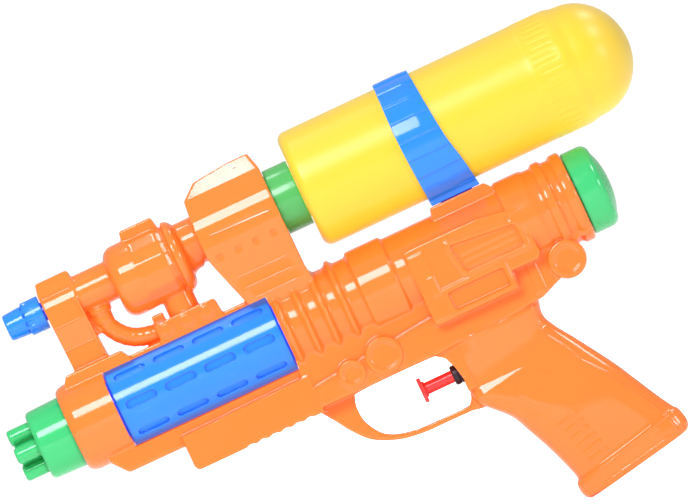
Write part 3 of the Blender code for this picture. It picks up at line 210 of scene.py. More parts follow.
def discard(obj):
    """Removes a bench object together with its mesh or curve."""
    data = obj.data
    bpy.data.objects.remove(obj)
    store = bpy.data.meshes if isinstance(data, bpy.types.Mesh) else bpy.data.curves
    store.remove(data)


def bake(obj, weld=0.0):
    """Turns an object's curve or modifiers into a plain mesh in the frame."""
    bpy.context.view_layer.update()
    graph = bpy.context.evaluated_depsgraph_get()
    mesh = bpy.data.meshes.new_from_object(obj.evaluated_get(graph), depsgraph=graph)
    mesh.transform(obj.matrix_world)
    if weld:
        shape = bmesh.new()
        shape.from_mesh(mesh)
        bmesh.ops.remove_doubles(shape, verts=shape.verts, dist=weld * MM)
        bmesh.ops.recalc_face_normals(shape, faces=shape.faces)
        shape.to_mesh(mesh)
        shape.free()
    discard(obj)
    return helper(mesh)


def bench_mesh(shape):
    """Puts a bmesh on the bench, with its faces turned outward."""
    bmesh.ops.recalc_face_normals(shape, faces=shape.faces)
    mesh = bpy.data.meshes.new("form")
    shape.to_mesh(mesh)
    shape.free()
    return helper(mesh)


def skinned(shape, rows, closed=False, capped=False):
    """Faces between neighbouring rows of points; a row of one point is a pole."""
    pairs = list(zip(rows, rows[1:]))
    if closed:
        pairs.append((rows[-1], rows[0]))
    for one, two in pairs:
        count = max(len(one), len(two))
        for i in range(count):
            j = (i + 1) % count
            corners = [one[i % len(one)], one[j % len(one)], two[j % len(two)], two[i % len(two)]]
            distinct = list(dict.fromkeys(corners))
            if len(distinct) > 2:
                shape.faces.new(distinct)
    if capped:
        shape.faces.new(rows[0])
        shape.faces.new(rows[-1])
    return bench_mesh(shape)


def turned(profile, at, axis="X", steps=FINE, ring=False, ripple=None):
    """Revolves (station, radius) points; ripple adds to a radius by station and angle."""
    points = list(profile)
    if not ring:
        if points[0][1] > 0:
            points.insert(0, (points[0][0], 0))
        if points[-1][1] > 0:
            points.append((points[-1][0], 0))
    shape = bmesh.new()
    order = {"X": (2, 0, 1), "Y": (1, 2, 0), "Z": (0, 1, 2)}[axis]
    rows = []
    for station, radius in points:
        row = []
        for k in range(steps if radius > 0 else 1):
            t = 2 * math.pi * k / steps
            r = radius + (ripple(station, t) if ripple else 0)
            place = (r * math.sin(t), r * math.cos(t), station)
            row.append(shape.verts.new((Vector([place[i] for i in order]) + Vector(at)) * MM))
        rows.append(row)
    return skinned(shape, rows, closed=ring)


def rod(start, end, radius, at, axis="X", steps=ROUND):
    """Round bar between two stations of an axis."""
    return turned([(start, radius), (end, radius)], at, axis, steps)


def plate(outlines, low, high, axis="Y"):
    """Solid between two planes from closed outlines; an outline inside another is a hole."""
    curve = bpy.data.curves.new("outline", "CURVE")
    curve.dimensions = "2D"
    curve.fill_mode = "BOTH"
    curve.extrude = (high - low) / 2 * MM
    for outline in outlines:
        spline = curve.splines.new("POLY")
        spline.points.add(len(outline) - 1)
        spline.use_cyclic_u = True
        for point, (across, up) in zip(spline.points, outline):
            point.co = (across * MM, up * MM, 0, 1)
    middle = (low + high) / 2
    shift = {"X": (middle, 0, 0), "Y": (0, middle, 0), "Z": (0, 0, middle)}[axis]
    place = Matrix.Translation(Vector(shift) * MM) @ FACING[axis]
    return bake(helper(curve, place), weld=WELD)


def slab(corners, half_width):
    """Plate of a side outline with rounded corners, the same to both sides of the middle plane."""
    return plate([rounded(corners)], -half_width, half_width)


def box(low, high):
    """Box between two corners."""
    shape = bmesh.new()
    bmesh.ops.create_cube(shape, size=MM)
    low, high = Vector(low), Vector(high)
    bmesh.ops.scale(shape, vec=high - low, verts=shape.verts)
    bmesh.ops.translate(shape, vec=(low + high) / 2 * MM, verts=shape.verts)
    return bench_mesh(shape)


def tube(path, radii, sides=20):
    """Round hose or wire along a path, with a radius for each point."""
    shape = bmesh.new()
    spots = [Vector(p) for p in path]
    side = Vector((0, 1, 0))
    rows = []
    for i, spot in enumerate(spots):
        along = (spots[min(i + 1, len(spots) - 1)] - spots[max(i - 1, 0)]).normalized()
        side = (side - along * side.dot(along)).normalized()
        up = along.cross(side)
        row = []
        for k in range(sides):
            t = 2 * math.pi * k / sides
            spoke = (side * math.cos(t) + up * math.sin(t)) * radii[i]
            row.append(shape.verts.new((spot + spoke) * MM))
        rows.append(row)
    return skinned(shape, rows, capped=True)


def loft(rings):
    """Skin over a row of rings with the same number of points, closed at both ends."""
    shape = bmesh.new()
    rows = [[shape.verts.new(Vector(p) * MM) for p in ring] for ring in rings]
    return skinned(shape, rows, capped=True)


def combined(target, tools, operation):
    """Joins, cuts or trims a solid by others and removes those."""
    for tool in tools:
        modifier = target.modifiers.new(operation.lower(), "BOOLEAN")
        modifier.operation = operation
        modifier.solver = "MANIFOLD"
        modifier.object = tool
    result = bake(target)
    for tool in tools:
        discard(tool)
    return result


def join(target, *tools):
    return combined(target, tools, "UNION")


def cut(target, *tools):
    return combined(target, tools, "DIFFERENCE")


def trim(target, *tools):
    return combined(target, tools, "INTERSECT")


def softened(obj, width, segments=4):
    """Rounds the sharp edges of a solid."""
    bevel = obj.modifiers.new("soft edges", "BEVEL")
    bevel.width = width * MM
    bevel.segments = segments
    bevel.limit_method = "ANGLE"
    bevel.angle_limit = math.radians(SOFT_ANGLE)
    return bake(obj)


def moulded(obj, voxel, rounds, faces=None):
    """Gives a solid the fillets and soft edges of a moulding."""
    skin = obj.modifiers.new("skin", "REMESH")
    skin.mode = "VOXEL"
    skin.voxel_size = voxel * MM * 1
    soft = obj.modifiers.new("fillets", "SMOOTH")
    soft.factor = 0.5
    soft.iterations = rounds
    return thinned(bake(obj), faces) if faces else bake(obj)


def thinned(obj, faces):
    """Brings a dense mesh down to about a number of triangles."""
    count = sum(len(p.vertices) - 2 for p in obj.data.polygons)
    if count <= faces:
        return obj
    thin = obj.modifiers.new("thin", "DECIMATE")
    thin.ratio = faces / count
    return bake(obj)


def spun(obj, angle, at):
    """Turns a bench object about the X direction through a point, in degrees."""
    centre = Matrix.Translation(Vector(at) * MM)
    turn = centre @ Matrix.Rotation(math.radians(angle), 4, "X") @ centre.inverted()
    obj.data.transform(turn)
    return obj


def duplicate(obj):
    return helper(obj.data.copy(), obj.matrix_world.copy())


# Lines and outlines


def rounded(corners, steps=6):
    """Polygon from (across, up, corner radius) with its corners as arcs."""
    outline = []
    for i, (across, up, radius) in enumerate(corners):
        here = Vector((across, up))
        if radius == 0:
            outline.append(tuple(here))
            continue
        back = (Vector(corners[i - 1][:2]) - here).normalized()
        ahead = (Vector(corners[(i + 1) % len(corners)][:2]) - here).normalized()
        half = back.angle(ahead) / 2
        centre = here + (back + ahead).normalized() * (radius / math.sin(half))
        first = here + back * (radius / math.tan(half)) - centre
        last = here + ahead * (radius / math.tan(half)) - centre
        sweep = math.atan2(first.x * last.y - first.y * last.x, first.dot(last))
        for k in range(steps + 1):
            outline.append(tuple(centre + Matrix.Rotation(sweep * k / steps, 2) @ first))
    return outline


def smooth(points, steps=5):
    """Smooth line through points of any number of coordinates."""
    spots = [Vector(p) for p in points]
    line = [spots[0]]
    for i in range(len(spots) - 1):
        a = spots[max(i - 1, 0)]
        b, c = spots[i], spots[i + 1]
        d = spots[min(i + 2, len(spots) - 1)]
        for k in range(1, steps + 1):
            t = k / steps
            bend = (2 * a - 5 * b + 4 * c - d) * t * t + (3 * b - a - 3 * c + d) * t**3
            line.append((2 * b + (c - a) * t + bend) / 2)
    return [tuple(p) for p in line]


def even(points, count):
    """Points at equal steps along a line."""
    spots = [Vector(p) for p in points]
    lengths = [0.0]
    for one, two in zip(spots, spots[1:]):
        lengths.append(lengths[-1] + (two - one).length)
    line = []
    k = 0
    for i in range(count):
        along = lengths[-1] * i / (count - 1)
        while k < len(spots) - 2 and lengths[k + 1] < along:
            k += 1
        share = (along - lengths[k]) / (lengths[k + 1] - lengths[k])
        line.append(tuple(spots[k].lerp(spots[k + 1], share)))
    return line


def quarter(start, end, steps=8, outward=True):
    """Quarter of an ellipse between two profile points, bulging away from the axis."""
    (ax, ar), (bx, br) = start, end
    points = []
    for k in range(steps + 1):
        t = math.pi / 2 * k / steps
        along, rise = 1 - math.cos(t), math.sin(t)
        if not outward:
            along, rise = math.sin(t), 1 - math.cos(t)
        points.append((ax + (bx - ax) * along, ar + (br - ar) * rise))
    return points


def capsule(length, width, at, steps=10):
    """Outline of a slot with round ends, lying along the first coordinate."""
    reach = (length - width) / 2
    outline = []
    for side in (1, -1):
        for k in range(steps + 1):
            t = math.pi * k / steps - math.pi / 2
            across = reach + width / 2 * math.cos(t)
            outline.append((at + side * across, side * width / 2 * math.sin(t)))
    return outline


def mirrored(half):
    """Section across the object from its +Y points, listed from the top down."""
    return [*half, *((-y, z) for y, z in reversed(half))]


def reach(sign, near, far):
    """Two places along Y on one side of the middle plane, in rising order."""
    return sorted((sign * near, sign * far))


# Shells

RIDGE_COUNT = 4
RIDGE_START = 2.6
RIDGE_PITCH = 8.5
RIDGE_WIDTH = 4.4
RIDGE_RISE = 2.0
RIDGE_STEPS = 12
BAND_RISE = 1.7
WAVE_COUNT = 6
WAVE_RISE = 0.7


def barrel_forms():
    """Front ring and rear barrel with its ridges, band and rear rings."""
    mouth = MUZZLE_R + GAP + 0.4
    ring = [*quarter((X_RING, mouth), (X_RING + 5, RING_R)), (X_SLEEVE, RING_R)]
    rear = [(X_RIBS, BARREL_R)]
    for i in range(RIDGE_COUNT):
        centre = X_RIBS + RIDGE_START + i * RIDGE_PITCH
        for k in range(RIDGE_STEPS + 1):
            share = k / RIDGE_STEPS - 0.5
            rise = min(1, 0.5 + 0.5 * math.cos(2 * math.pi * share) + 0.12)
            rise = rise if 0 < k < RIDGE_STEPS else 0
            rear.append((centre + RIDGE_WIDTH * share, BARREL_R + RIDGE_RISE * rise))
    band = BARREL_R + BAND_RISE
    rear += [(X_BAND - 0.6, BARREL_R), (X_BAND + 0.4, band), (X_RECEIVER - 0.4, band)]
    rear += [(X_RECEIVER + 0.4, RECEIVER_R), (X_RINGS - 12, RECEIVER_R)]
    low, high = RECEIVER_R + 0.5, RECEIVER_R + 1.3
    top = high + 0.5
    steps = [(-11, high), (0, high), (2, low), (5, low), (6, top), (9, top)]
    steps += [(10.2, low), (13, low), (14.2, top)]
    rear += [(X_RINGS + along, radius) for along, radius in steps]
    rear += [(X_REAR - 0.9, top), (X_REAR, top - 0.8)]
    return [turned(ring, AXIS), turned(rear, AXIS)]


def foregrip_line():
    """Underside of the fore-end with its shallow finger waves."""
    floor = BARREL_Z - 36.5
    start, end = X_RIBS - 33.5, X_RIBS - 2
    count = 12 * WAVE_COUNT
    line = []
    for k in range(count + 1):
        swell = 0.5 - 0.5 * math.cos(2 * math.pi * WAVE_COUNT * k / count)
        line.append((start + (end - start) * k / count, floor + WAVE_RISE * swell))
    return floor, line


# Sections of the grip: X and drop of the front, X and drop of the back, half width
GRIP_SECTIONS = (
    (-36.2, 25.5, 8.0, 25.5, 12.0),
    (-35.7, 40.5, 5.0, 37.5, 12.0),
    (-35.5, 48.5, 7.0, 43.5, 11.6),
    (-35.4, 55.0, 9.8, 48.0, 11.6),
    (-34.2, 60.5, 13.2, 53.0, 11.9),
    (-24.6, 70.7, 22.6, 67.9, 13.0),
    (-20.4, 79.1, 27.6, 77.1, 13.4),
    (-15.0, 91.5, 33.2, 87.7, 13.2),
    (-10.6, 104.7, 37.4, 94.9, 12.8),
    (-11.6, 107.0, 39.0, 96.7, 13.6),
    (-11.8, 110.7, 40.4, 102.5, 13.7),
    (-10.6, 113.9, 39.2, 105.7, 13.2),
    (-8.6, 115.1, 36.8, 106.8, 12.0),
)
GRIP_POINTS = 72
GRIP_BACK_POWER = 4.4
GRIP_FRONT_POWER = 2.8


def grip_rings(inset):
    """Rounded sections of the grip from its neck to the butt, drawn in for the hollow."""
    rings = []
    for x_front, drop_front, x_back, drop_back, half in smooth(GRIP_SECTIONS, 4):
        front = Vector((x_front, BARREL_Z - drop_front))
        back = Vector((x_back, BARREL_Z - drop_back))
        chord = back - front
        middle = (back + front) / 2
        reach = chord / 2 * (1 - 2 * inset / chord.length)
        neck = min(1, max(0, (76 - drop_front) / 14))
        nose = GRIP_FRONT_POWER + GRIP_FRONT_POWER * neck
        ring = []
        for k in range(GRIP_POINTS):
            t = 2 * math.pi * k / GRIP_POINTS
            c, s = math.cos(t), math.sin(t)
            power = 2 / (GRIP_BACK_POWER if c > 0 else nose)
            u = math.copysign(abs(c) ** power, c)
            v = math.copysign(abs(s) ** power, s)
            ring.append((middle.x + reach.x * u, (half - inset) * v, middle.y + reach.y * u))
        rings.append(ring)
    return rings


# Guard and the gusset behind it, as X and height from the axis of the barrel
GUARD_CURVE = ((-95.5, -35), (-90.2, -42.5), (-86.5, -48.2), (-80, -55.3))
GUARD_CURVE += ((-70, -59.9), (-60, -61.6), (-50, -61.8))
GUARD_ENDS = ((-38, -61.9), (-33, -62.9), (-27, -55.5), (-27, -28.5), (-95, -28.5))
GUARD_HOLE = ((-80.2, -40.5), (-79.7, -47), (-75.6, -54.1), (-70, -57.5), (-62, -59.3))
GUARD_HOLE += ((-55, -59.6), (-40, -59.7), (-37, -58.5), (-35.5, -55), (-35.3, -48.5))
GUARD_HOLE += ((-36.6, -42.5), (-38.6, -37.9), (-42, -35.3), (-75.5, -35.3), (-79, -36.9))
GUSSET = ((-44, -34), (-42.6, -35), (-38.9, -37.7), (-36.9, -42.5), (-35.6, -48.5))
GUSSET += ((-35.8, -54), (-32, -54), (-32, -33))
GUSSET_HALF = 11.4


def lower_forms():
    """Keel, fore-end block, receiver, raised step, guard and grip."""
    z = BARREL_Z
    front = X_RING + 9.2
    keel = [(front - 0.8, z - 12, 0), (front, z - 18.6, 0), (front + 5.4, z - 25.2, 2)]
    keel += [(X_RIBS + 2, z - 25.4, 0), (X_RIBS + 2, z - 12, 0)]
    floor, waves = foregrip_line()
    block_front = X_SLEEVE + 18.4
    head = [(block_front, z - 20.2, 0.8), (block_front, floor, 2.2), (waves[0][0], floor, 0)]
    block = [*rounded(head)[:-1], *waves, (X_RIBS + 2.2, floor), (X_RIBS + 2.2, z - 20.2)]
    receiver = [(X_RIBS - 0.7, z - 5, 0), (X_RIBS - 0.7, z - 34.5, 1), (-40, z - 35.1, 0)]
    receiver += [(8, z - 31.9, 2), (18, z - 28, 3), (24, z - 25, 0), (31.5, z - 16, 1)]
    receiver += [(X_REAR - 2.5, z - 15.5, 0), (X_REAR - 2.5, z - 5, 0)]
    step = [(X_RIBS + 2.4, z - 25.9, 0), (X_RECEIVER + 5.8, z - 20.2, 0), (-8, z - 20.2, 0)]
    step += [(-8, z - 32.6, 0), (-40, z - 34.9, 0), (X_RIBS + 2.8, z - 34.5, 0)]
    plan = [(X_RIBS, STEP_HALF), (X_RECEIVER + 2, STEP_HALF), (-8, RECEIVER_HALF - 0.1)]
    plan += [(x, -half) for x, half in reversed(plan)]
    outer = [*smooth(GUARD_CURVE), *GUARD_ENDS]
    inner = smooth([*GUARD_HOLE, GUARD_HOLE[0]])[:-1]
    *guard, gusset = [[(x, z + rise) for x, rise in line] for line in (outer, inner, GUSSET)]
    side = RECEIVER_HALF + RELIEF
    return [
        softened(slab(keel, KEEL_HALF), 1.0),
        softened(plate([block], -FOREGRIP_HALF, FOREGRIP_HALF), 0.8),
        softened(slab(receiver, RECEIVER_HALF), 1.2),
        trim(slab(step, STEP_HALF + 1), plate([plan], z - 40, z - 10, "Z")),
        softened(plate(guard, -GUARD_HALF, GUARD_HALF), 1.2),
        box((6.8, -side, z - 30), (10.8, side, z - 16)),
        softened(plate([gusset], -GUSSET_HALF, GUSSET_HALF), 1.0),
        loft(grip_rings(0)),
    ]


# Relief of the grip's sides, as X and Z in the side view
RELIEF_HALF = 6
RELIEF_FADE = 4
NECK_LINE_Z = 42.4
NECK_RISE = 0.55
LEDGE_FRONT, LEDGE_BACK = (-34.5, 19.4), (-9.0, 21.4)
LEDGE_RISE = 1.5
LEDGE_SLOPE = 0.34
PANEL_LINE = ((-3.5, -26.7), (-10.7, -9.5), (-13.5, -3.1), (-13.6, 4.1), (-17.4, 11.4))
PANEL_LINE += ((-14.9, 17.3), (-4.2, 15.1), (8.2, 8.9), (18.8, -5.7), (26.3, -19.5))
PANEL_LINE += ((27.6, -24.6), (-1.6, -31.2))
PANEL_RISE = 0.3
CREASE_LINE = ((1.3, 34.0), (2.3, 29.0), (6.2, 23.5), (11.1, 13.6), (18.0, 4.9))
CREASE_LINE += ((25.4, -7.4), (32.5, -20.2), (36.0, -33.0))
CREASE_DROP = 0.5
BUTT_LINES = (((-5.1, -31.1), (31.7, -22.0)), ((-1.1, -35.9), (30.8, -30.0)))
LINE_RISE = 0.4
RIB_TOP = (-4.4, -4.0)
RIB_RUN = (0.263, -0.965)
RIB_PITCH = 3.8
RIB_COUNT = 6
RIB_HALF = 5.0
RIB_RISE = 0.28


def ramp(values):
    """Smooth step from 0 to 1."""
    t = np.clip(values, 0, 1)
    return t * t * (3 - 2 * t)


def distance_to(line, x, z):
    """Distance of points in the side view from a line of several corners."""
    best = np.full(x.shape, 1e3)
    for (ax, az), (bx, bz) in zip(line[:-1], line[1:]):
        run = (bx - ax) ** 2 + (bz - az) ** 2
        t = np.clip(((x - ax) * (bx - ax) + (z - az) * (bz - az)) / run, 0, 1)
        best = np.minimum(best, np.hypot(x - ax - t * (bx - ax), z - az - t * (bz - az)))
    return best


def within(line, x, z):
    """Tells which points in the side view lie inside a closed line."""
    odd = np.zeros(x.shape, bool)
    for (ax, az), (bx, bz) in zip(line, [*line[1:], line[0]]):
        crosses = (az > z) != (bz > z)
        odd ^= crosses & (x < (bx - ax) * (z - az) / (bz - az + 1e-9) + ax)
    return odd


def grip_relief(x, z):
    """Rise of the grip's side: neck edge, ledge, panel, back crease, butt lines and plain ribs."""
    rise = NECK_RISE * ramp((NECK_LINE_Z - z) / 0.9) * (1 - ramp((NECK_LINE_Z - 1.5 - z) / 9))
    rise *= ramp((x + 30) / 6) * ramp((6 - x) / 4)
    (ax, az), (bx, bz) = LEDGE_FRONT, LEDGE_BACK
    share = np.clip((bx - x) / (bx - ax), 0, 1)
    level = bz + (az - bz) * share
    height = np.maximum(share * LEDGE_RISE / LEDGE_SLOPE, 0.01)
    below = np.clip((level + height / 2 - z) / height, 0, 1)
    rise += LEDGE_RISE * share * below * (1 - ramp((level - 2 - z) / 30))
    sign = np.where(within(PANEL_LINE, x, z), 1, -1)
    depth = distance_to([*PANEL_LINE, PANEL_LINE[0]], x, z) * sign
    rise += PANEL_RISE * ramp(depth / 2.6 + 0.5)
    corners = CREASE_LINE[::-1]
    behind = 0.85 * (x - np.interp(z, [c[1] for c in corners], [c[0] for c in corners]))
    rise -= CREASE_DROP * ramp(behind / 3 + 0.5) * ramp((35 - z) / 3)
    for line, width in ((CREASE_LINE, 0.65), *((line, 0.7) for line in BUTT_LINES)):
        rise += LINE_RISE * np.maximum(0, 1 - distance_to(line, x, z) / width)
    along = (x - RIB_TOP[0]) * RIB_RUN[0] + (z - RIB_TOP[1]) * RIB_RUN[1]
    across = (z - RIB_TOP[1]) * RIB_RUN[0] - (x - RIB_TOP[0]) * RIB_RUN[1]
    inside = (along > 0) * (along < RIB_PITCH * RIB_COUNT)
    field = ramp((RIB_HALF - np.abs(across)) / 0.9) * inside
    return rise + RIB_RISE * field * ramp(0.2 - 0.9 * np.cos(2 * math.pi * along / RIB_PITCH))


def carve_grip(obj):
    """Draws the relief of the grip's sides on a dense skin."""
    mesh = obj.data
    flat = np.empty(3 * len(mesh.vertices), np.float32)
    mesh.vertices.foreach_get("co", flat)
    spots = flat.reshape(-1, 3)
    x, y, z = spots.T / MM
    grip = (np.abs(y) > RELIEF_HALF) & (x > -40) & (x < 46) & (z < NECK_LINE_Z)
    x, y, z = x[grip], y[grip], z[grip]
    fade = ramp((np.abs(y) - RELIEF_HALF) / RELIEF_FADE)
    spots[grip, 1] += np.sign(y) * grip_relief(x, z) * fade * MM
    mesh.vertices.foreach_set("co", flat)
    return obj


def post_form():
    """Faceted post that clamps the upper pipe."""
    a, b, z = X_POST, X_POST_BACK, TANK_Z
    foot = BARREL_Z + 14
    side = [(a + 1.2, foot, 0), (a, z + 6.2, 0.8), (a + 1, z + 11.5, 0.8), (b + 0.4, z + 11.5, 1)]
    side += [(b + 1, z + 9.5, 0), (b, z, 0), (b + 1.3, z - 25, 0), (b + 2, foot, 0)]
    section = [(3, z + 12), (5.2, z + 8.2), (8.1, z + 2.7), (8.85, z + 0.2), (8.8, z - 8.6)]
    section += [(7, z - 18.8), (7, foot - 2)]
    return trim(slab(side, 14), plate([mirrored(section)], a - 5, b + 5, "X"))


STAVE_COUNT = 16
STAVE_TURN = 0.1
STAVE_FALL = 1.9
HOSE_R = 3.9
HOSE_RIBS = 9
HOSE_RIB_RISE = 0.07


def chamber_forms():
    """Chamber of the upper line, with flat staves that slope down behind, and its cap."""
    a, b = X_CHAMBER, X_CHAMBER_BACK
    front, full, foot, back = a + 11.4, b - 13, b - 9.8, b - 9
    bulb = quarter((a, CHAMBER_R - 5), (a + 5.4, CHAMBER_R))
    count = 90
    for k in range(1, count + 1):
        bulb.append((a + 5.4 + (CHAMBER_LENGTH - 14) * k / count, CHAMBER_R))
    bulb += quarter((b - 8.6, CHAMBER_R), (b - 4.6, CHAMBER_R - 4.8), outward=False)[1:]
    bulb += quarter((b - 4.6, CHAMBER_R - 4.8), (b + 0.5, CHAMBER_R - 7.2))[1:]

    def staves(station, angle):
        if not front < station < back:
            return 0
        if station > foot:
            return -STAVE_FALL * (back - station) / (back - foot)
        turn = STAVE_COUNT * angle / (2 * math.pi) - STAVE_TURN
        away = (turn - round(turn)) * 2 * math.pi / STAVE_COUNT
        flat = CHAMBER_R * (math.cos(math.pi / STAVE_COUNT) / math.cos(away) - 1)
        fall = STAVE_FALL * max(0, station - full) / (foot - full)
        return flat * min(1, (station - front) / 0.8) - fall

    top = CHAMBER_Z + CHAMBER_R
    cap = [(a + 9.8, top - 2, 0), (a + 11, top + 3.8, 0.8)]
    cap += [(b - 11.6, top + 3.8, 0.8), (b - 10.4, top - 2, 0)]
    chamber = turned(bulb, (0, 0, CHAMBER_Z), steps=16 * STAVE_COUNT, ripple=staves)
    return [chamber, softened(slab(cap, 5), 0.8)]


def upper_hose():
    """Ribbed hose that runs from the elbow of the upper line down to the bank."""
    x, low = ELBOW_X, ELBOW_Z
    a, z = X_CHAMBER, BARREL_Z
    path = [(x, 0, low + 2.5), (x + 0.6, 0, low - 1), (x + 4, 0, low - 6.6)]
    path += [(x + 9.8, 0, low - 10.8), (a + 9, 0, z + 21.4), (a + 11, 0, z + 21.2)]
    count = 8 * HOSE_RIBS + 1
    turn = 2 * math.pi * HOSE_RIBS / (count - 1)
    radii = []
    for k in range(count):
        swell = min(1, 4 * k / count, 4 - 4 * k / count)
        radii.append(HOSE_R - 0.05 + HOSE_RIB_RISE * swell * math.cos(turn * k))
    hose = tube(even(smooth(path), count), radii, SMALL)
    return join(hose, box((X_POST_BACK - 1, -2.6, low - 3), (X_POST_BACK + 3, 2.6, low + 4)))


def upper_forms():
    """Top block, rail, post, pipe, chamber, hose and the block it runs into."""
    z = BARREL_Z
    block = [(X_RING + 4.6, z + 10, 0), (X_RING + 4.6, z + 17, 0), (X_RING + 7.4, z + 21.5, 1.5)]
    tail = X_POST_BACK + 9.8
    block += [(tail - 3, z + 21.5, 1.2), (tail, z + 16.5, 0), (tail, z + 10, 0)]
    a, b = X_CHAMBER, X_CHAMBER_BACK
    low = ELBOW_Z
    elbow = [(low, 3.2), (low + 0.4, 4.4), (low + 4, 4.4), (low + 4.6, 5.2), (low + 6.8, 5.2)]
    elbow += [(low + 7.4, 4.4), (TANK_Z, 4.4)]
    bank_top = z + 24.9
    bank = [(a + 7.8, z + 14, 0), (a + 7.8, bank_top, 1.5)]
    bank += [(a + 34.8, bank_top, 1.5), (a + 36, z + 14, 0)]
    half = 7.2
    bolts = []
    for x in (a + 12.2, a + 21.2, a + 30.2):
        bolts.append(rod(-half - RELIEF, half + RELIEF, 2.6, (x, 0, bank_top - 3.6), "Y", SMALL))
    return [
        softened(slab(block, 9.5), 1.6),
        box((X_SLEEVE - 5, -6.6, z + 10), (X_RIBS + 6, 6.6, z + 18)),
        post_form(),
        rod(X_POST_BACK - 3, X_CHAMBER + 3, PIPE_R, TANK_AXIS),
        *chamber_forms(),
        turned(elbow, (ELBOW_X, 0, 0), "Z", ROUND),
        rod(z + 22, CHAMBER_Z, 6.6, (a + 21.6, 0, 0), "Z"),
        slab(bank, half),
        *bolts,
        box((a + 8.2, -3.2, z + 23), (a + 13.2, 3.2, z + 28.6)),
        upper_hose(),
        rod(b - 6, X_SOCKET_FRONT + 3, NECK_PIPE_R - 0.5, TANK_AXIS),
    ]


DIMPLE_COUNT = 4
DIMPLE_PITCH = 8
DIMPLE_R = 1.5
DIMPLE_DEPTH = 0.5


def socket_form():
    """Faceted housing that holds the tank collar, with its roof, groove and dimples."""
    a, b, z = X_SOCKET_FRONT, X_SOCKET, TANK_Z
    foot = BARREL_Z + 12
    side = [(a + 8.8, foot, 0), (a + 1.6, z - 14.8, 2), (a + 0.2, z - 9.8, 2), (a, z + 3.2, 0)]
    side += [(a + 1.2, z + 16.2, 1), (a + 7.8, z + 21.8, 1.5), (b - 2.2, z + 24.2, 1)]
    side += [(b, z + 16.2, 1), (b + 0.2, z - 28, 0), (b + 1.6, foot, 0)]
    section = [(2.2, z + 23.4), (10.1, z + 16.2), (15.9, z + 7), (17.2, z + 3), (17.2, z - 5.6)]
    section += [(14.2, z - 20), (12.6, foot - 2)]
    housing = trim(slab(side, 22), plate([mirrored(section)], a - 5, b + 5, "X"))
    marks = []
    for sign in (-1, 1):
        inner, outer = reach(sign, 16.2, 20)
        marks.append(box((a + 5.6, inner, z - 1), (b - 4, outer, z - 0.2)))
        for k in range(DIMPLE_COUNT):
            spot = (a + 5.4 + DIMPLE_PITCH * k, 0, z - 10.8)
            dimple = reach(sign, 16.1 - DIMPLE_DEPTH, 20)
            marks.append(rod(*dimple, DIMPLE_R, spot, "Y", SMALL))
    return cut(housing, *marks)


def saddle_form():
    """Seat on top of the receiver for the foot of the strap."""
    low = BARREL_Z + 12
    a, b = X_STRAP, X_STRAP_BACK
    outline = [(a - 3.4, low, 0), (a - 1.4, SADDLE_Z, 0.8), (b + 1.2, SADDLE_Z, 0.8)]
    outline += [(b + 3.8, SADDLE_Z - 3.2, 0), (b + 3.8, low, 0)]
    return slab(outline, 9.6)


# Round bosses on the sides: X, height, radius, radius of the recess and half width
BOSSES = (
    (X_BAND - 17.5, BARREL_Z - 27.2, 5.8, 4.0, STEP_HALF + 1.1),
    (X_BAND - 2.5, BARREL_Z - 25.9, 7.8, 5.7, STEP_HALF + 1.2),
    (X_RINGS + 3.5, BARREL_Z - 22, 8.0, 5.5, RECEIVER_HALF + 1.6),
)


def side_forms():
    """Raised side panels with their frames, front strip and tab, and the round bosses."""
    z = BARREL_Z
    left = X_RECEIVER + 6
    panel = [(left, z - 24.3, 1.5), (left, z + 8.5, 2), (-3, z + 8.5, 0), (13, z + 5.8, 1.5)]
    panel += [(14.8, z - 14.5, 2), (13, z - 16.7, 1), (0.9, z - 16.7, 0), (0.9, z - 24.3, 1.2)]
    window = [(-20, z + 5.1, 1), (11.6, z + 1.8, 1), (12, z - 10.9, 1), (-17.6, z - 10.9, 1)]
    lower = [(-28.8, z - 11.9, 1), (-0.2, z - 11.9, 1), (0.1, z - 23.7, 1), (-28.4, z - 23.7, 1)]
    forms = [softened(slab(panel, PANEL_HALF), 0.6)]
    forms += [slab(window, PANEL_HALF + RELIEF), slab(lower, PANEL_HALF + RELIEF + 0.1)]
    tab = PANEL_HALF + RELIEF - 0.1
    forms.append(softened(box((-35.8, -tab, z - 23.2), (-29, tab, z + 5.7)), 0.4))
    tab += RELIEF / 2
    forms.append(box((-32.3, -tab, z - 13), (-29.4, tab, z - 5.4)))
    for x, height, radius, _, half in BOSSES:
        forms.append(softened(rod(-half, half, radius, (x, 0, height), "Y"), 0.6))
    return forms


def panel_cuts():
    """Recesses of the side frames and of the round bosses."""
    z = BARREL_Z
    window = [(-18.2, z + 3.2), (9.8, z + 0.2), (10.2, z - 9.2), (-16, z - 9.2)]
    lower = [(-26.8, z - 13.8), (-2, z - 13.8), (-1.8, z - 21.8), (-26.5, z - 21.8)]
    cuts = []
    for sign in (-1, 1):
        near, far = reach(sign, PANEL_HALF - RELIEF, PANEL_HALF + 5)
        for corners in (window, lower):
            cuts.append(plate([rounded([(x, up, 0.8) for x, up in corners])], near, far))
        for x, height, _, radius, half in BOSSES:
            recess = reach(sign, half - RELIEF, half + 5)
            cuts.append(rod(*recess, radius, (x, 0, height), "Y"))
    return cuts


SLAT_COUNT = 3
SLAT_PITCH = 2.9
SLAT_DEPTH = 0.42


def slats():
    """Bars across the recess of the upper side frame."""
    half = PANEL_HALF - SLAT_DEPTH
    bars = []
    for k in range(SLAT_COUNT):
        level = BARREL_Z - 1.6 - SLAT_PITCH * k
        bars.append(box((-15.4 + 0.4 * k, -half, level - 0.7), (8.4, half, level + 0.7)))
    return bars


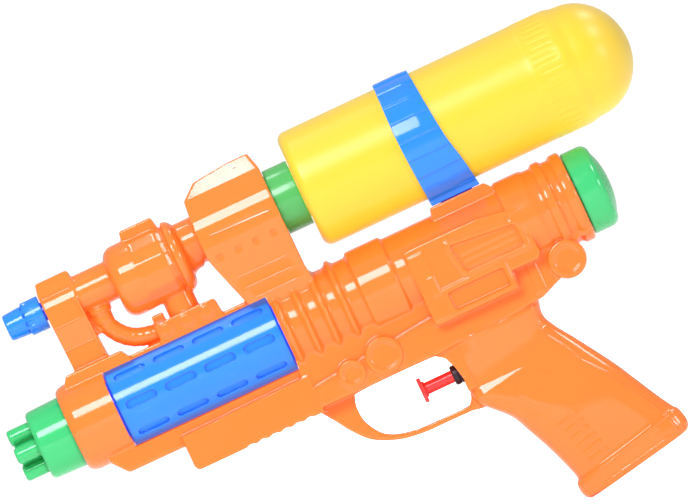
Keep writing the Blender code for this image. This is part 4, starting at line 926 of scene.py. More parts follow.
SCREW_SPOTS = []
for k in range(1, 8):
    screw_low, screw_high = span(f"shell_screw_{k}")
    SCREW_SPOTS.append(((screw_low.x + screw_high.x) / 2, (screw_low.z + screw_high.z) / 2))
SCREW_R = 1.2
SCREW_HEAD_R = 2.2
SCREW_SEAT = 5.0
SCREW_REACH = 5.0
POST_R = 4.0


def bead(path, radius):
    """Thin round line on both sides of the shells, from X, half width and Z."""
    beads = []
    for sign in (-1, 1):
        spots = [(x, sign * half, height) for x, half, height in path]
        beads.append(tube(spots, [radius] * len(spots), 12))
    return beads


def lip(start, end, half, height, rise):
    """Thin ledge on both sides of the shells between two X and Z places, facing a little up."""
    root = half - 0.8
    lips = []
    for sign in (-1, 1):
        rings = []
        for x, up in (start, end):
            section = [(root, up), (half, up), (half + rise, up - height), (root, up - height)]
            rings.append([(x, sign * across, level) for across, level in section])
        lips.append(loft(rings))
    return lips


def fine_lines():
    """Lips of the groove and louvres of the socket and of the bank, and lines on step and post."""
    a, b, z = X_SOCKET_FRONT, X_SOCKET, TANK_Z
    lines = lip((a + 5.4, z - 0.1), (b - 3.6, z - 1.1), 17.15, 0.8, 0.27)
    for k, start in enumerate((8, 9.6, 11.6)):
        level = z - 20.7 - 5.2 * k
        lines += lip((a + start, level), (b - 5, level), 14.05 - 0.43 * k, 0.5, 0.2)
    half = STEP_HALF - 0.2
    step = [(X_RIBS + 2.6, half, BARREL_Z - 25.9), (X_RECEIVER + 5.8, half, BARREL_Z - 20.2)]
    lines += bead(step, 0.5)
    a, b = X_POST + 0.8, X_POST_BACK
    lines += bead([(a, 8.5, z - 8.6), (b - 1, 8.5, z - 8.6)], 0.5)
    lines += bead([(a, 6.8, z - 18.8), (b - 1, 6.8, z - 18.8)], 0.45)
    edge = [(b - 1.4, 8.6, z + 0.2), (b - 1.2, 8.6, z - 8.4), (b - 0.3, 6.8, z - 18.6)]
    lines += bead([*edge, (b + 0.3, 6.8, z - 26)], 0.4)
    lines += bead([(a, 7.1, z + 4.3), (b - 1, 7.1, z + 4.3)], 0.6)
    a, top = X_CHAMBER, BARREL_Z + 24.4
    lines += lip((a + 8.4, top), (a + 34.4, top), 6.9, 0.5, 0.25)
    return lines


def hollow_forms():
    """Hollows of the shells, without the places where ribs and screw posts stand."""
    z = BARREL_Z
    start = X_RIBS + WALL
    lower = [(start, z - 4), (start, z - 32), (-40, z - 32.4), (5.5, z - 29.6)]
    lower += [(15, z - 25.5), (27.5, z - 15.5), (32.5, z - 4)]
    roof, floor = z - 22.6, z - 33.8
    a, b = X_SLEEVE + 20.6, X_RIBS + 5
    fore = [(a, roof), (a, floor), (b, floor), (b, roof)]
    a, b = X_SOCKET_FRONT, X_SOCKET
    leg = [(start, z), (start, z + 19.5), (a + 11.6, z + 19.5), (a + 10, TANK_Z - 20)]
    leg += [(a + 5.5, TANK_Z - 12), (b - 3, TANK_Z - 12), (b - 3, z)]
    rear = [(start, CAVITY_R), (X_RINGS - 9, CAVITY_R), (X_RINGS - 8, RING_CAVITY_R)]
    rear.append((X_REAR - WALL, RING_CAVITY_R))
    a, b = X_CHAMBER, X_CHAMBER_BACK
    bulb = quarter((a + WALL, CHAMBER_R - 7), (a + 6, CHAMBER_R - WALL))
    bulb += quarter((b - 14, CHAMBER_R - WALL - 2), (b - 7, CHAMBER_R - 9), outward=False)
    foot, head = z + 24, TANK_Z + 1.5
    post = [(X_POST + 3.2, foot), (X_POST + 2, head)]
    post += [(X_POST_BACK - 3, head), (X_POST_BACK - 2.4, foot)]
    forms = [
        rod(X_RING + WALL, X_SLEEVE - WALL, RING_CAVITY_R, AXIS, steps=FINE),
        turned(rear, AXIS),
        plate([lower], -RECEIVER_HALF + WALL, RECEIVER_HALF - WALL),
        plate([fore], -FOREGRIP_HALF + WALL + 0.3, FOREGRIP_HALF - WALL - 0.3),
        loft(grip_rings(WALL + 0.2)[:-11:4]),
        rod(X_POST_BACK, a + 3, PIPE_R - WALL, TANK_AXIS),
        turned(bulb, (0, 0, CHAMBER_Z), steps=SMALL),
        rod(b - 4, X_SOCKET_FRONT + 4, NECK_PIPE_R - WALL, TANK_AXIS),
        rod(X_SOCKET_FRONT + WALL, X_SOCKET - WALL, SOCKET_CAVITY_R, TANK_AXIS, steps=FINE),
        plate([leg], -9.4, 9.4),
        plate([post], -6.4, 6.4),
    ]
    stiffeners = []
    for x, height in SCREW_SPOTS:
        stiffeners.append(rod(-30, 30, POST_R, (x, 0, height), "Y", SMALL))
    for x in (pump_low.x + 2, pump_high.x - 7):
        stiffeners.append(box((x, -30, PUMP_Z - 8.5), (x + 2, 30, PUMP_Z + 8.5)))
    return cut(join(forms[0], *forms[1:]), *stiffeners)


def through_forms():
    """Holes and bays that the other pieces sit in."""
    bay = SLEEVE_R + GAP
    window = []
    for sign in (-1, 1):
        for inner, play, drop, rise in ((3.5, 0.1, bay, bay - 0.6), (9, 0.5, 13, 13)):
            near, far = reach(sign, inner, 40)
            low = (X_SLEEVE - play, near, BARREL_Z - drop)
            window.append(box(low, (X_RIBS + play, far, BARREL_Z + rise)))
    a, b = X_STRAP + TENON_INSET - GAP, X_STRAP_BACK - TENON_INSET + GAP
    half = TENON_HALF + GAP
    pump_end = pump_high.x - 2
    return [
        rod(X_RING - 1, X_RING + WALL + 1, MUZZLE_R + GAP, AXIS, steps=FINE),
        *window,
        rod(X_SLEEVE - 0.1, X_RIBS + 0.1, bay, AXIS, steps=FINE),
        rod(X_SLEEVE - WALL - 1, X_RIBS + WALL + 1, SLEEVE_SPIGOT_R + GAP, AXIS, steps=FINE),
        rod(X_REAR - WALL - 1, X_REAR + 1, CAP_SPIGOT_R + GAP, AXIS, steps=FINE),
        rod(X_SOCKET - WALL - 1, X_SOCKET + 1.5, COLLAR_SPIGOT_R + GAP, TANK_AXIS, steps=FINE),
        rod(X_POST - 1.5, X_POST + 4, TIP_SPIGOT_R + GAP, TANK_AXIS),
        rod(pump_low.x - GAP, pump_end + GAP, PUMP_BORE_R + PUMP_WALL + GAP, PUMP_AXIS),
        rod(gland_low.x, pump_low.x + 1, PUMP_BORE_R, PUMP_AXIS),
        box((a, -half, SADDLE_Z - TENON_DEPTH - GAP), (b, half, SADDLE_Z + 2)),
    ]


def make_shells():
    """Two hollow halves that meet at the middle plane, screwed together from the +Y side."""
    forms = [*barrel_forms(), *lower_forms(), *upper_forms(), *side_forms()]
    forms += [socket_form(), saddle_form()]
    outside = cut(join(forms[0], *forms[1:]), *panel_cuts())
    outside = join(outside, *slats())
    outside = carve_grip(moulded(outside, voxel=0.42, rounds=5))
    outside = join(outside, *fine_lines())
    inside = join(hollow_forms(), *through_forms())
    far = 400
    halves = []
    for sign in (-1, 1):
        tools = [duplicate(inside)]
        low, high = reach(sign, PARTING, -far)
        tools.append(box((-far, low, -far), (far, high, far)))
        for x, height in SCREW_SPOTS:
            at = (x, 0, height)
            if sign < 0:
                tools.append(rod(-SCREW_REACH - 1, 1, SCREW_R + GAP, at, "Y", SMALL))
            else:
                tools.append(rod(-1, SCREW_SEAT + 1, SCREW_R + GAP, at, "Y", SMALL))
                tools.append(rod(SCREW_SEAT, 40, SCREW_HEAD_R + GAP, at, "Y", SMALL))
        half = cut(duplicate(outside), join(tools[0], *tools[1:]))
        halves.append(thinned(half, faces=180_000))
    discard(inside)
    discard(outside)
    return halves


# The other pieces

PRONG_COUNT = 4
CORE_R = 4.7
POCKET_COUNT = 4
POCKET_PITCH = 17.7
POCKET_LENGTH = 13.8
POCKET_WIDTH = 4.2
POCKET_DEPTH = 1.2
POCKET_ROWS = (-47, 0, 47)


def make_muzzle():
    """Round muzzle with four prongs round a central bar."""
    face = X_RING - MUZZLE_LENGTH
    flange = X_RING + WALL + GAP
    inner = MUZZLE_R - 2.6
    brim = RING_CAVITY_R - GAP
    floor = face + 2.2
    cup = [(face, 0), *quarter((face, MUZZLE_R - 2.2), (face + 2.2, MUZZLE_R - 0.4))]
    cup += [(X_RING, MUZZLE_R), (flange, MUZZLE_R), (flange, brim), (flange + 2, brim)]
    cup += [(flange + 2, MUZZLE_R - 0.6), (flange + 6, MUZZLE_R - 0.6), (flange + 6, inner)]
    muzzle = turned([*cup, (floor, inner), (floor, 0)], AXIS)
    tip = face - PRONG_LENGTH
    prong = [*quarter((tip, PRONG_R - 1.2), (tip + 1.2, PRONG_R)), (face + 1, PRONG_R)]
    bars = []
    for k in range(PRONG_COUNT):
        angle = math.radians(360 / PRONG_COUNT * k)
        across, up = PRONG_CIRCLE_R * math.cos(angle), PRONG_CIRCLE_R * math.sin(angle)
        bars.append(turned(prong, (0, across, BARREL_Z + up), steps=ROUND))
    middle = [*quarter((tip + 0.8, CORE_R - 0.8), (tip + 1.6, CORE_R)), (face + 1, CORE_R)]
    bars.append(turned(middle, AXIS, steps=ROUND))
    muzzle = join(muzzle, *bars)
    muzzle = cut(muzzle, rod(tip - 1, face + 4, JET_R + GAP, AXIS))
    return moulded(muzzle, voxel=0.25, rounds=3, faces=60_000)


def make_sleeve():
    """Blue sleeve with its rows of long pockets."""
    front, rear = X_SLEEVE + SLEEVE_PLAY, X_RIBS - SLEEVE_PLAY
    core = SLEEVE_R - SLEEVE_WALL
    start, stop, spigot = front - SPIGOT_LENGTH, rear + SPIGOT_LENGTH, SLEEVE_SPIGOT_R
    wall = [(start, spigot), (front, spigot)]
    wall += quarter((front, SLEEVE_R - 0.3), (front + 0.3, SLEEVE_R))
    wall += reversed(quarter((rear, SLEEVE_R - 0.3), (rear - 0.3, SLEEVE_R)))
    wall += [(rear, spigot), (stop, spigot), (stop, core), (start, core)]
    sleeve = turned(wall, AXIS, ring=True)
    pockets = []
    middle = (front + rear) / 2
    low = BARREL_Z + SLEEVE_R - POCKET_DEPTH
    for i in range(POCKET_COUNT):
        centre = middle + (i - (POCKET_COUNT - 1) / 2) * POCKET_PITCH
        for side in (90, -90):
            for row in POCKET_ROWS:
                outline = capsule(POCKET_LENGTH, POCKET_WIDTH, centre)
                pockets.append(spun(plate([outline], low, low + 4, "Z"), side + row, AXIS))
    return moulded(cut(sleeve, *pockets), voxel=0.22, rounds=1, faces=150_000)


NOZZLE_RIBS = 10
NOZZLE_GROOVE = 0.7


def make_upper_nozzle():
    """False nozzle in the front post, ribbed behind and tapered in front."""
    start = X_POST - TIP_LENGTH
    shoulder = X_POST - 8.6
    tail = X_POST + 3 + GAP
    seat = X_POST - 2 * GAP
    bore = 2.6
    tip = [(start + 5, 0), (start + 5, bore), (start + 0.4, bore)]
    tip += reversed(quarter((start, bore + 0.5), (start + 0.4, bore), outward=False))
    tip += quarter((start, TIP_R - 2.6), (start + 1, TIP_R - 1.6))
    tip.append((shoulder - 0.8, TIP_R - 1.1))
    low, high = shoulder - 0.6, seat - 0.2
    count = 24
    for k in range(count + 1):
        station = low + (high - low) * k / count
        tip.append((station, TIP_R - 1.1 + 1.1 * min(1, max(0, station - shoulder) / 0.6)))
    tip += [(seat, TIP_R - 0.2), (seat, TIP_SPIGOT_R), (tail, TIP_SPIGOT_R)]
    tip += [(tail, TIP_SPIGOT_R + 1.4), (tail + 1.6, TIP_SPIGOT_R + 1.4)]

    def ribs(station, angle):
        if not low < station < high:
            return 0
        share = (station - low) / (high - low)
        ends = min(1, share / 0.1) * max(0, 1 - share / 0.7)
        crest = min(1, max(0, (math.cos(NOZZLE_RIBS * angle) + 0.2) / 0.4))
        return -NOZZLE_GROOVE * ends * crest * crest * (3 - 2 * crest)

    return turned(tip, TANK_AXIS, steps=24 * NOZZLE_RIBS, ripple=ribs)


def make_rear_cap():
    """Domed plug in the rear end of the barrel."""
    face = X_REAR + GAP
    end = X_REAR + CAP_LENGTH
    rim = end - 2.6
    flange = X_REAR - WALL - GAP
    brim = RING_CAVITY_R - GAP
    core = CAP_SPIGOT_R - WALL
    dome = CAP_R - 4
    crown = [(end, 0), (end - 0.3, dome - 8.8), (end - 1.2, dome - 4.2), (rim, dome - 0.4)]
    cup = [*smooth(crown), *quarter((rim, dome), (rim - 4, CAP_R))]
    cup += [(face + 0.4, CAP_R), (face, CAP_R - 0.4), (face, CAP_SPIGOT_R)]
    cup += [(flange, CAP_SPIGOT_R), (flange, brim), (flange - 2, brim), (flange - 2, core)]
    cup += [(rim - 3, core), (end - 2.4, core - 7), (end - 2, 0)]
    return turned(cup, AXIS, steps=128)


DOME_LENGTH = 22.4
DOME_STEP = 0.9
BAND_END = 41.5
BAND_PROUD = 0.15
KNURL_COUNT = 46
KNURL_RISE = 0.3


def make_tank():
    """Tank with its open neck, fine ribs round its grip band and a stepped dome."""
    rear = tank_high.x
    dome = rear - DOME_LENGTH
    band = rear - BAND_END
    front = X_TANK + TANK_SETBACK
    dome_r, proud = TANK_R - DOME_STEP, TANK_R + BAND_PROUD
    outer = [(rear, 0)]
    for k in range(1, 25):
        t = math.pi / 2 * k / 24
        outer.append((dome + (rear - dome) * math.cos(t), dome_r * math.sin(t)))
    start = dome - 6
    for k in range(1, 13):
        share = 0.5 - 0.5 * math.cos(math.pi * k / 12)
        radius = dome_r + (proud - TANK_R + DOME_STEP) * share
        outer.append((dome + (start - dome) * k / 12, radius))
    count = 30
    for k in range(1, count + 1):
        outer.append((start + (band - start) * k / count, proud))
    outer += [(band - 0.5, TANK_R + 0.05), (band - 1, TANK_R)]
    for k in range(1, 40):
        outer.append((band - 1 + (front + 3.6 - band + 1) * k / 40, TANK_R))
    outer += quarter((front + 3.6, TANK_R), (front, TANK_R - 4.2), outward=False)
    outer += [(front, NECK_R), (X_TANK - NECK_LENGTH, NECK_R)]
    inside = TANK_R - TANK_WALL
    bore = NECK_R - 2.2
    lining = front + TANK_WALL
    outer += [(X_TANK - NECK_LENGTH, bore), (lining, bore), (lining, inside - 5)]
    outer += [(X_TANK + 6, inside), (dome - 1, inside - 0.6)]
    for k in range(7, 0, -1):
        t = math.pi / 2 * k / 8
        outer.append((dome + (rear - TANK_WALL - dome) * math.cos(t), (inside - 1) * math.sin(t)))
    low, high = band + 1.5, dome - 6.5

    def knurl(station, angle):
        if not low < station < high:
            return 0
        ends = min(1, (station - low) / 2, (high - station) / 2)
        return -KNURL_RISE * ends * max(0, math.cos(KNURL_COUNT * angle)) ** 2

    return turned([*outer, (rear - TANK_WALL, 0)], TANK_AXIS, steps=8 * KNURL_COUNT, ripple=knurl)


def make_collar():
    """Green collar that the neck of the tank screws into."""
    mouth = X_TANK + TANK_SETBACK - GAP
    shoulder = X_SOCKET + GAP
    catch = X_SOCKET - WALL - GAP
    floor = X_TANK - NECK_LENGTH - 1.9
    nose = floor - 2.0
    socket = NECK_R + GAP + 0.1
    barb = nose - 5.0
    brim, cup = SOCKET_CAVITY_R - GAP, COLLAR_SPIGOT_R + 0.6
    ring = [*quarter((mouth, COLLAR_R - 0.5), (mouth - 0.5, COLLAR_R))]
    ring += reversed(quarter((shoulder, COLLAR_R - 0.4), (shoulder + 0.4, COLLAR_R)))
    ring += [(shoulder, COLLAR_SPIGOT_R), (catch, COLLAR_SPIGOT_R)]
    ring += [(catch, brim), (catch - 2, brim)]
    ring += [(catch - 2, cup), (nose, cup), (nose, JET_R), (barb, JET_R)]
    ring += [(barb, 0.9), (floor, 0.9), (floor, socket), (mouth, socket)]
    return turned(ring, TANK_AXIS, ring=True)


STRAP_PADS = 20
STRAP_PAD_STEP = 0.7
STRAP_CREASE_X = -7.4
STRAP_CREASE_DROP = 0.6


def make_strap():
    """Blue strap with stepped pads round the tank, and the foot that clips into the saddle."""
    inner = TANK_R + GAP + 0.1
    teeth = []
    for k in range(STRAP_PADS):
        for i in range(9):
            share = 0.03 + 0.94 * i / 8
            t = 2 * math.pi * (k + share) / STRAP_PADS
            low = 1 - share if k < STRAP_PADS / 2 else share
            r = inner + STRAP_THICKNESS - STRAP_PAD_STEP * low
            teeth.append((r * math.sin(t), TANK_Z + r * math.cos(t)))
    hole = rod(X_STRAP - 20, X_STRAP_BACK + 20, inner, TANK_AXIS, steps=2 * FINE)
    hoop = plate([teeth], X_STRAP - 6, X_STRAP_BACK + 6, "X")
    sole = SADDLE_Z + GAP
    top = TANK_Z - TANK_R + 4
    foot = [(-8.6, sole), (8.6, sole), (9.2, top), (-9.2, top)]
    foot = plate([foot], X_STRAP - 6, X_STRAP_BACK + 6, "X")
    crown = TANK_Z + TANK_R + 4
    top_back = X_STRAP + 13.6
    front = [(X_STRAP, sole - 2), (X_STRAP - 1.4, TANK_Z - 14)]
    front = smooth([*front, (X_STRAP - 2.2, TANK_Z + 5), (X_STRAP - 1.4, crown)])
    back = [(top_back, crown), (top_back + 1.4, TANK_Z + 10), (X_STRAP_BACK - 5, TANK_Z - 4.8)]
    back = smooth([*back, (X_STRAP_BACK - 2.4, TANK_Z - 16.8), (X_STRAP_BACK, sole - 2)])
    strap = trim(join(hoop, foot), plate([[*front, *back]], -40, 40))
    strap = cut(strap, hole)
    a, b, half = X_STRAP + TENON_INSET, X_STRAP_BACK - TENON_INSET, TENON_HALF
    strap = join(strap, box((a, -half, SADDLE_Z - TENON_DEPTH), (b, half, sole + 0.8)))
    strap = moulded(strap, voxel=0.28, rounds=2, faces=110_000)
    for vert in strap.data.vertices:
        x, y, up = vert.co.x / MM, vert.co.y / MM, vert.co.z / MM - TANK_Z
        r = math.hypot(y, up)
        if r > inner + 0.7 and up > sole + 3 - TANK_Z and x > STRAP_CREASE_X:
            drop = min(STRAP_CREASE_DROP, 0.07 * (x - STRAP_CREASE_X))
            shrink = 1 - drop * min(1, (r - inner - 0.7) / 0.5) / r
            vert.co.y, vert.co.z = vert.co.y * shrink, (TANK_Z + up * shrink) * MM
    return strap


def make_trigger():
    """Red trigger: a rounded pull on the end of the pump's plunger."""
    face = trigger_low.x
    pad = box((face, trigger_low.y, trigger_low.z), (face + 1.7, trigger_high.y, trigger_high.z))
    a, b = trigger_high.x - 4, trigger_high.x
    groove, head = PUMP_BORE_R - 1.5, PUMP_BORE_R - GAP
    plunger = [(face + 0.8, ROD_R + 1)]
    plunger += quarter((face + 1.7, ROD_R + 0.9), (face + 2.6, ROD_R), outward=False)
    plunger += [(a, ROD_R), (a, head), (a + 1.1, head)]
    plunger += [(a + 1.1, groove), (b - 1.1, groove), (b - 1.1, head), (b, head)]
    return join(softened(pad, 0.6, 5), turned(plunger, PUMP_AXIS, steps=ROUND))


def make_gland():
    """Black ring that the plunger runs through."""
    front, back = gland_low.x, gland_high.x
    rim = PUMP_BORE_R - GAP
    ring = [(front, ROD_R + GAP), *quarter((front, rim - 0.9), (front + 0.9, rim))]
    ring.append((front + 2.2, rim))
    ring += [(front + 2.5, rim - 0.25), (front + 2.9, rim - 0.25), (front + 3.2, rim)]
    ring += [(back, rim), (back, ROD_R + GAP)]
    return turned(ring, PUMP_AXIS, steps=ROUND, ring=True)


def make_screw(x, height):
    """Pan-head screw with a cross recess, in a well of the right shell."""
    seat = SCREW_SEAT + GAP
    top = seat + 1.6
    thread = []
    for k in range(25):
        station = -SCREW_REACH + (seat + SCREW_REACH) * k / 24
        thread.append((station, SCREW_R - 0.25 * (k % 2)))
    profile = [*thread, (seat, SCREW_HEAD_R)]
    profile += [*reversed(quarter((top, SCREW_HEAD_R - 0.9), (top - 1, SCREW_HEAD_R)))]
    screw = turned(profile, (x, 0, height), "Y", SMALL)
    arm, width = 1.3, 0.3
    cross = [box((x - arm, top - 0.8, height - width), (x + arm, top + 1, height + width))]
    cross.append(box((x - width, top - 0.8, height - arm), (x + width, top + 1, height + arm)))
    return cut(screw, *cross)


SPRING_TURNS = 5
SPRING_STEPS = 28
SPRING_WIRE_R = 0.3


def make_spring():
    """Wire spring behind the piston."""
    start, stop = spring_low.x + SPRING_WIRE_R, spring_high.x - SPRING_WIRE_R
    count = SPRING_TURNS * SPRING_STEPS
    radius = PUMP_BORE_R - 1.2
    path = []
    for k in range(count + 1):
        t = 2 * math.pi * k / SPRING_STEPS
        place = start + (stop - start) * k / count
        path.append((place, radius * math.cos(t), PUMP_Z + radius * math.sin(t)))
    return tube(path, [SPRING_WIRE_R] * len(path), 10)


# Finishes


def linear(channel):
    value = channel / 255
    return value / 12.92 if value <= 0.04045 else ((value + 0.055) / 1.055) ** 2.4


def tint(red, green, blue):
    return (linear(red), linear(green), linear(blue), 1)


WHITE, BLACK = (1, 1, 1, 1), (0, 0, 0, 1)


class Nodes:
    """Short way to place and link shader nodes in a tree."""

    def __init__(self, tree):
        self.tree = tree

    def feed(self, socket, value):
        """Links a socket to another one, or sets its value."""
        if isinstance(value, bpy.types.NodeSocket):
            self.tree.links.new(value, socket)
        else:
            socket.default_value = value

    def add(self, kind, inputs=None, **settings):
        node = self.tree.nodes.new(kind)
        for key, value in settings.items():
            setattr(node, key, value)
        for key, value in (inputs or {}).items():
            self.feed(node.inputs[key], value)
        return node

    def group(self, tree, inputs):
        return self.add("ShaderNodeGroup", inputs, node_tree=tree).outputs

    def math(self, operation, one, two=0.0, clamp=False):
        settings = {"operation": operation, "use_clamp": clamp}
        return self.add("ShaderNodeMath", {0: one, 1: two}, **settings).outputs[0]

    def mix(self, share, one, two):
        """Mix of two colours."""
        return self.add("ShaderNodeMix", {0: share, 6: one, 7: two}, data_type="RGBA").outputs[2]

    def noise(self, place, scale, detail, distortion=0.0):
        inputs = {"Vector": place, "Scale": scale, "Detail": detail, "Distortion": distortion}
        return self.add("ShaderNodeTexNoise", inputs).outputs["Fac"]

    def share(self, value, low, high):
        """Where a value stands between two others, from 0 to 1."""
        inputs = {"Value": value, "From Min": low, "From Max": high}
        return self.add("ShaderNodeMapRange", inputs).outputs[0]

    def place(self):
        return self.add("ShaderNodeTexCoord").outputs["Object"]


def new_group(name, inputs, outputs):
    """Nodes of a new shader group, with its inputs to read and its outputs to feed."""
    group = bpy.data.node_groups.new(name, "ShaderNodeTree")
    kinds = {True: "NodeSocketColor", False: "NodeSocketFloat"}
    for label, value in inputs.items():
        kind = kinds[isinstance(value, tuple)]
        socket = group.interface.new_socket(label, in_out="INPUT", socket_type=kind)
        socket.default_value = value
    for label, coloured in outputs.items():
        group.interface.new_socket(label, in_out="OUTPUT", socket_type=kinds[coloured])
    nodes = Nodes(group)
    return nodes, nodes.add("NodeGroupInput").outputs, nodes.add("NodeGroupOutput").inputs


def flow_group():
    """Slow change of tone where the melt flowed, and a paler tone along worn edges."""
    inputs = {"Tint": WHITE, "Deep Tint": (0.8, 0.8, 0.8, 1), "Flow": 0.5}
    inputs.update({"Edge Tint": WHITE, "Edge Wear": 0.25})
    nodes, given, made = new_group("moulding_flow", inputs, {"Colour": True})
    place = nodes.place()
    drawn = nodes.add("ShaderNodeMapping", {"Vector": place, "Scale": (0.45, 1, 1)}).outputs[0]
    swirl = nodes.noise(drawn, 38.0, 3.0, 0.8)
    flow = nodes.math("MULTIPLY", swirl, given["Flow"], clamp=True)
    colour = nodes.mix(flow, given["Tint"], given["Deep Tint"])
    bend = nodes.add("ShaderNodeNewGeometry").outputs["Pointiness"]
    edge = nodes.share(bend, 0.53, 0.62)
    specks = nodes.math("MULTIPLY", nodes.noise(place, 420.0, 2.0), given["Edge Wear"])
    worn = nodes.math("MULTIPLY", edge, specks, clamp=True)
    nodes.feed(made["Colour"], nodes.mix(worn, colour, given["Edge Tint"]))
    return nodes.tree


def skin_group():
    """Skin of a moulding: gloss that changes a little, faint scuffs, and height of its grain."""
    inputs = {"Gloss Roughness": 0.2, "Spread": 0.05, "Scuffs": 0.1}
    inputs.update({"Grain Scale": 900.0, "Ripple": 0.5})
    nodes, given, made = new_group("moulded_skin", inputs, {"Roughness": False, "Height": False})
    place = nodes.place()
    cloud = nodes.math("SUBTRACT", nodes.noise(place, 60.0, 4.0), 0.5)
    drift = nodes.math("MULTIPLY", cloud, given["Spread"])
    streak = {"Vector": place, "Rotation": (0.3, 0.5, 0.2), "Scale": (1, 14, 9)}
    hairs = nodes.noise(nodes.add("ShaderNodeMapping", streak).outputs[0], 90.0, 2.0)
    scuff = nodes.math("MULTIPLY", nodes.share(hairs, 0.66, 0.74), given["Scuffs"])
    gloss = nodes.math("ADD", given["Gloss Roughness"], drift)
    nodes.feed(made["Roughness"], nodes.math("ADD", gloss, scuff, clamp=True))
    grain = nodes.math("MULTIPLY", nodes.noise(place, given["Grain Scale"], 3.0), 0.12)
    wave = nodes.math("MULTIPLY", nodes.noise(place, 70.0, 1.0), given["Ripple"])
    nodes.feed(made["Height"], nodes.math("ADD", grain, wave))
    return nodes.tree


def painted_crease_group():
    """Painted shade in creases and gaps that occlusion finds, and painted bounce light glowing
    there.
    """
    inputs = {"Colour": WHITE, "Painted Shade Tint": (0.5, 0.5, 0.5, 1), "Reach": 0.002}
    nodes, given, made = new_group("painted_crease_shade_and_light", inputs, {"Colour": True, "Glow": True})
    around = nodes.add("ShaderNodeAmbientOcclusion", {"Distance": given["Reach"]}, samples=6)
    shade_share = nodes.share(around.outputs["AO"], 0.93, 0.35)
    deep = given["Painted Shade Tint"]
    # Painted shade deepens the colour in creases; the glow there is painted bounce light.
    nodes.feed(made["Colour"], nodes.mix(shade_share, given["Colour"], deep))
    nodes.feed(made["Glow"], nodes.mix(nodes.math("MULTIPLY", shade_share, shade_share), BLACK, deep))
    return nodes.tree


def rim_group():
    """Light from the floor and the pieces around, on faces that look down or, in part, up."""
    inputs = {"Glow": BLACK, "Rim Tint": BLACK, "Upward": 0.0}
    nodes, given, made = new_group("rim_light", inputs, {"Glow": True})
    normal = nodes.add("ShaderNodeNewGeometry").outputs["Normal"]
    level = nodes.add("ShaderNodeSeparateXYZ", {0: normal}).outputs["Z"]
    above = nodes.math("MULTIPLY", level, given["Upward"])
    steep = nodes.math("MAXIMUM", above, nodes.math("MULTIPLY", level, -1.0))
    rim = nodes.share(steep, 0.6, 0.92)
    nodes.feed(made["Glow"], nodes.mix(rim, given["Glow"], given["Rim Tint"]))
    return nodes.tree


FLOW = flow_group()
SKIN = skin_group()
PAINTED_CREASES = painted_crease_group()
RIM = rim_group()
# Strengths of the painted glow in creases and of the painted rim light
PAINTED_CREASE_GLOW = 0.3
RIM_GLOW = 0.6
GRAIN_STRENGTH = 0.05
GRAIN_HEIGHT = 0.0003


def surface(material, values):
    """Sets or links sockets of a material's shader."""
    nodes = Nodes(material.node_tree)
    for label, value in values.items():
        nodes.feed(nodes.tree.nodes["Principled BSDF"].inputs[label], value)


def plastic(name, colour, deep, pale, roughness, painted_shade_tint=None, ripple=0.5):
    """Moulded plastic from its tint, its deeper tone and the pale tone of its edges, with painted
    shade and light in creases.
    """
    material = bpy.data.materials.new(name)
    material.use_nodes = True
    material.diffuse_color = colour
    nodes = Nodes(material.node_tree)
    tone = nodes.group(FLOW, {"Tint": colour, "Deep Tint": deep, "Edge Tint": pale})
    skin = nodes.group(SKIN, {"Gloss Roughness": roughness, "Ripple": ripple})
    bump = {"Height": skin["Height"], "Strength": GRAIN_STRENGTH, "Distance": GRAIN_HEIGHT}
    bump = nodes.add("ShaderNodeBump", bump).outputs["Normal"]
    # Painted shade: creases darken toward the shade tint, and a painted glow lights them by
    # emission.
    painted_crease_looks = nodes.group(PAINTED_CREASES, {"Colour": tone["Colour"], "Painted Shade Tint": painted_shade_tint or deep})
    looks = {"Base Color": painted_crease_looks["Colour"], "Emission Color": painted_crease_looks["Glow"]}
    looks.update({"Emission Strength": PAINTED_CREASE_GLOW, "Roughness": skin["Roughness"]})
    surface(material, {**looks, "Normal": bump, "IOR": 1.5})
    return material


def light_rim(material, rim, upward):
    """Adds light on the lower faces of a plastic, and on the upper ones where upward is 1."""
    nodes = Nodes(material.node_tree)
    glow = nodes.tree.nodes["Principled BSDF"].inputs["Emission Color"].links[0].from_socket
    light = nodes.group(RIM, {"Glow": glow, "Rim Tint": rim, "Upward": upward})
    surface(material, {"Emission Color": light["Glow"], "Emission Strength": RIM_GLOW})


# Tint, deep tint, edge tint, roughness, tint of the painted crease shade where it isn't the deep
# tint, and ripple
BLUE = (tint(40, 142, 252), tint(30, 126, 246), tint(110, 182, 255), 0.11, tint(22, 66, 222))
STEEL = tint(196, 198, 202)
DARK_STEEL = (*(0.8 * c for c in STEEL[:3]), 1)
PLASTICS = {
    "orange_plastic": (
        tint(255, 134, 52), tint(255, 121, 36), tint(255, 172, 100), 0.1, tint(250, 84, 20)
    ),
    "blue_plastic": BLUE,
    "sleeve_plastic": BLUE,
    "yellow_plastic": (
        tint(244, 208, 50), tint(245, 199, 34), tint(252, 228, 120), 0.36, None, 0.6
    ),
    "green_plastic": (
        tint(66, 206, 120), tint(50, 194, 104), tint(140, 228, 176), 0.14, tint(10, 130, 60)
    ),
    "leaf_green_plastic": (tint(86, 188, 98), tint(72, 174, 82), tint(140, 214, 150), 0.2),
    "red_plastic": (tint(250, 58, 54), tint(234, 44, 42), tint(255, 130, 122), 0.2),
    "black_rubber": (tint(36, 22, 32), tint(28, 18, 26), tint(80, 70, 80), 0.4),
    "white_plastic": (tint(234, 236, 236), tint(222, 226, 226), tint(246, 246, 246), 0.3),
    "clear_hose": (tint(228, 232, 230), tint(214, 220, 220), tint(240, 242, 242), 0.3),
    "steel": (STEEL, DARK_STEEL, STEEL, 0.28, None, 0.2),
}
FINISHES = {name: plastic(name, *values) for name, values in PLASTICS.items()}
light_rim(FINISHES["sleeve_plastic"], rim=tint(72, 132, 228), upward=1.0)
light_rim(FINISHES["yellow_plastic"], rim=tint(136, 126, 0), upward=0.0)
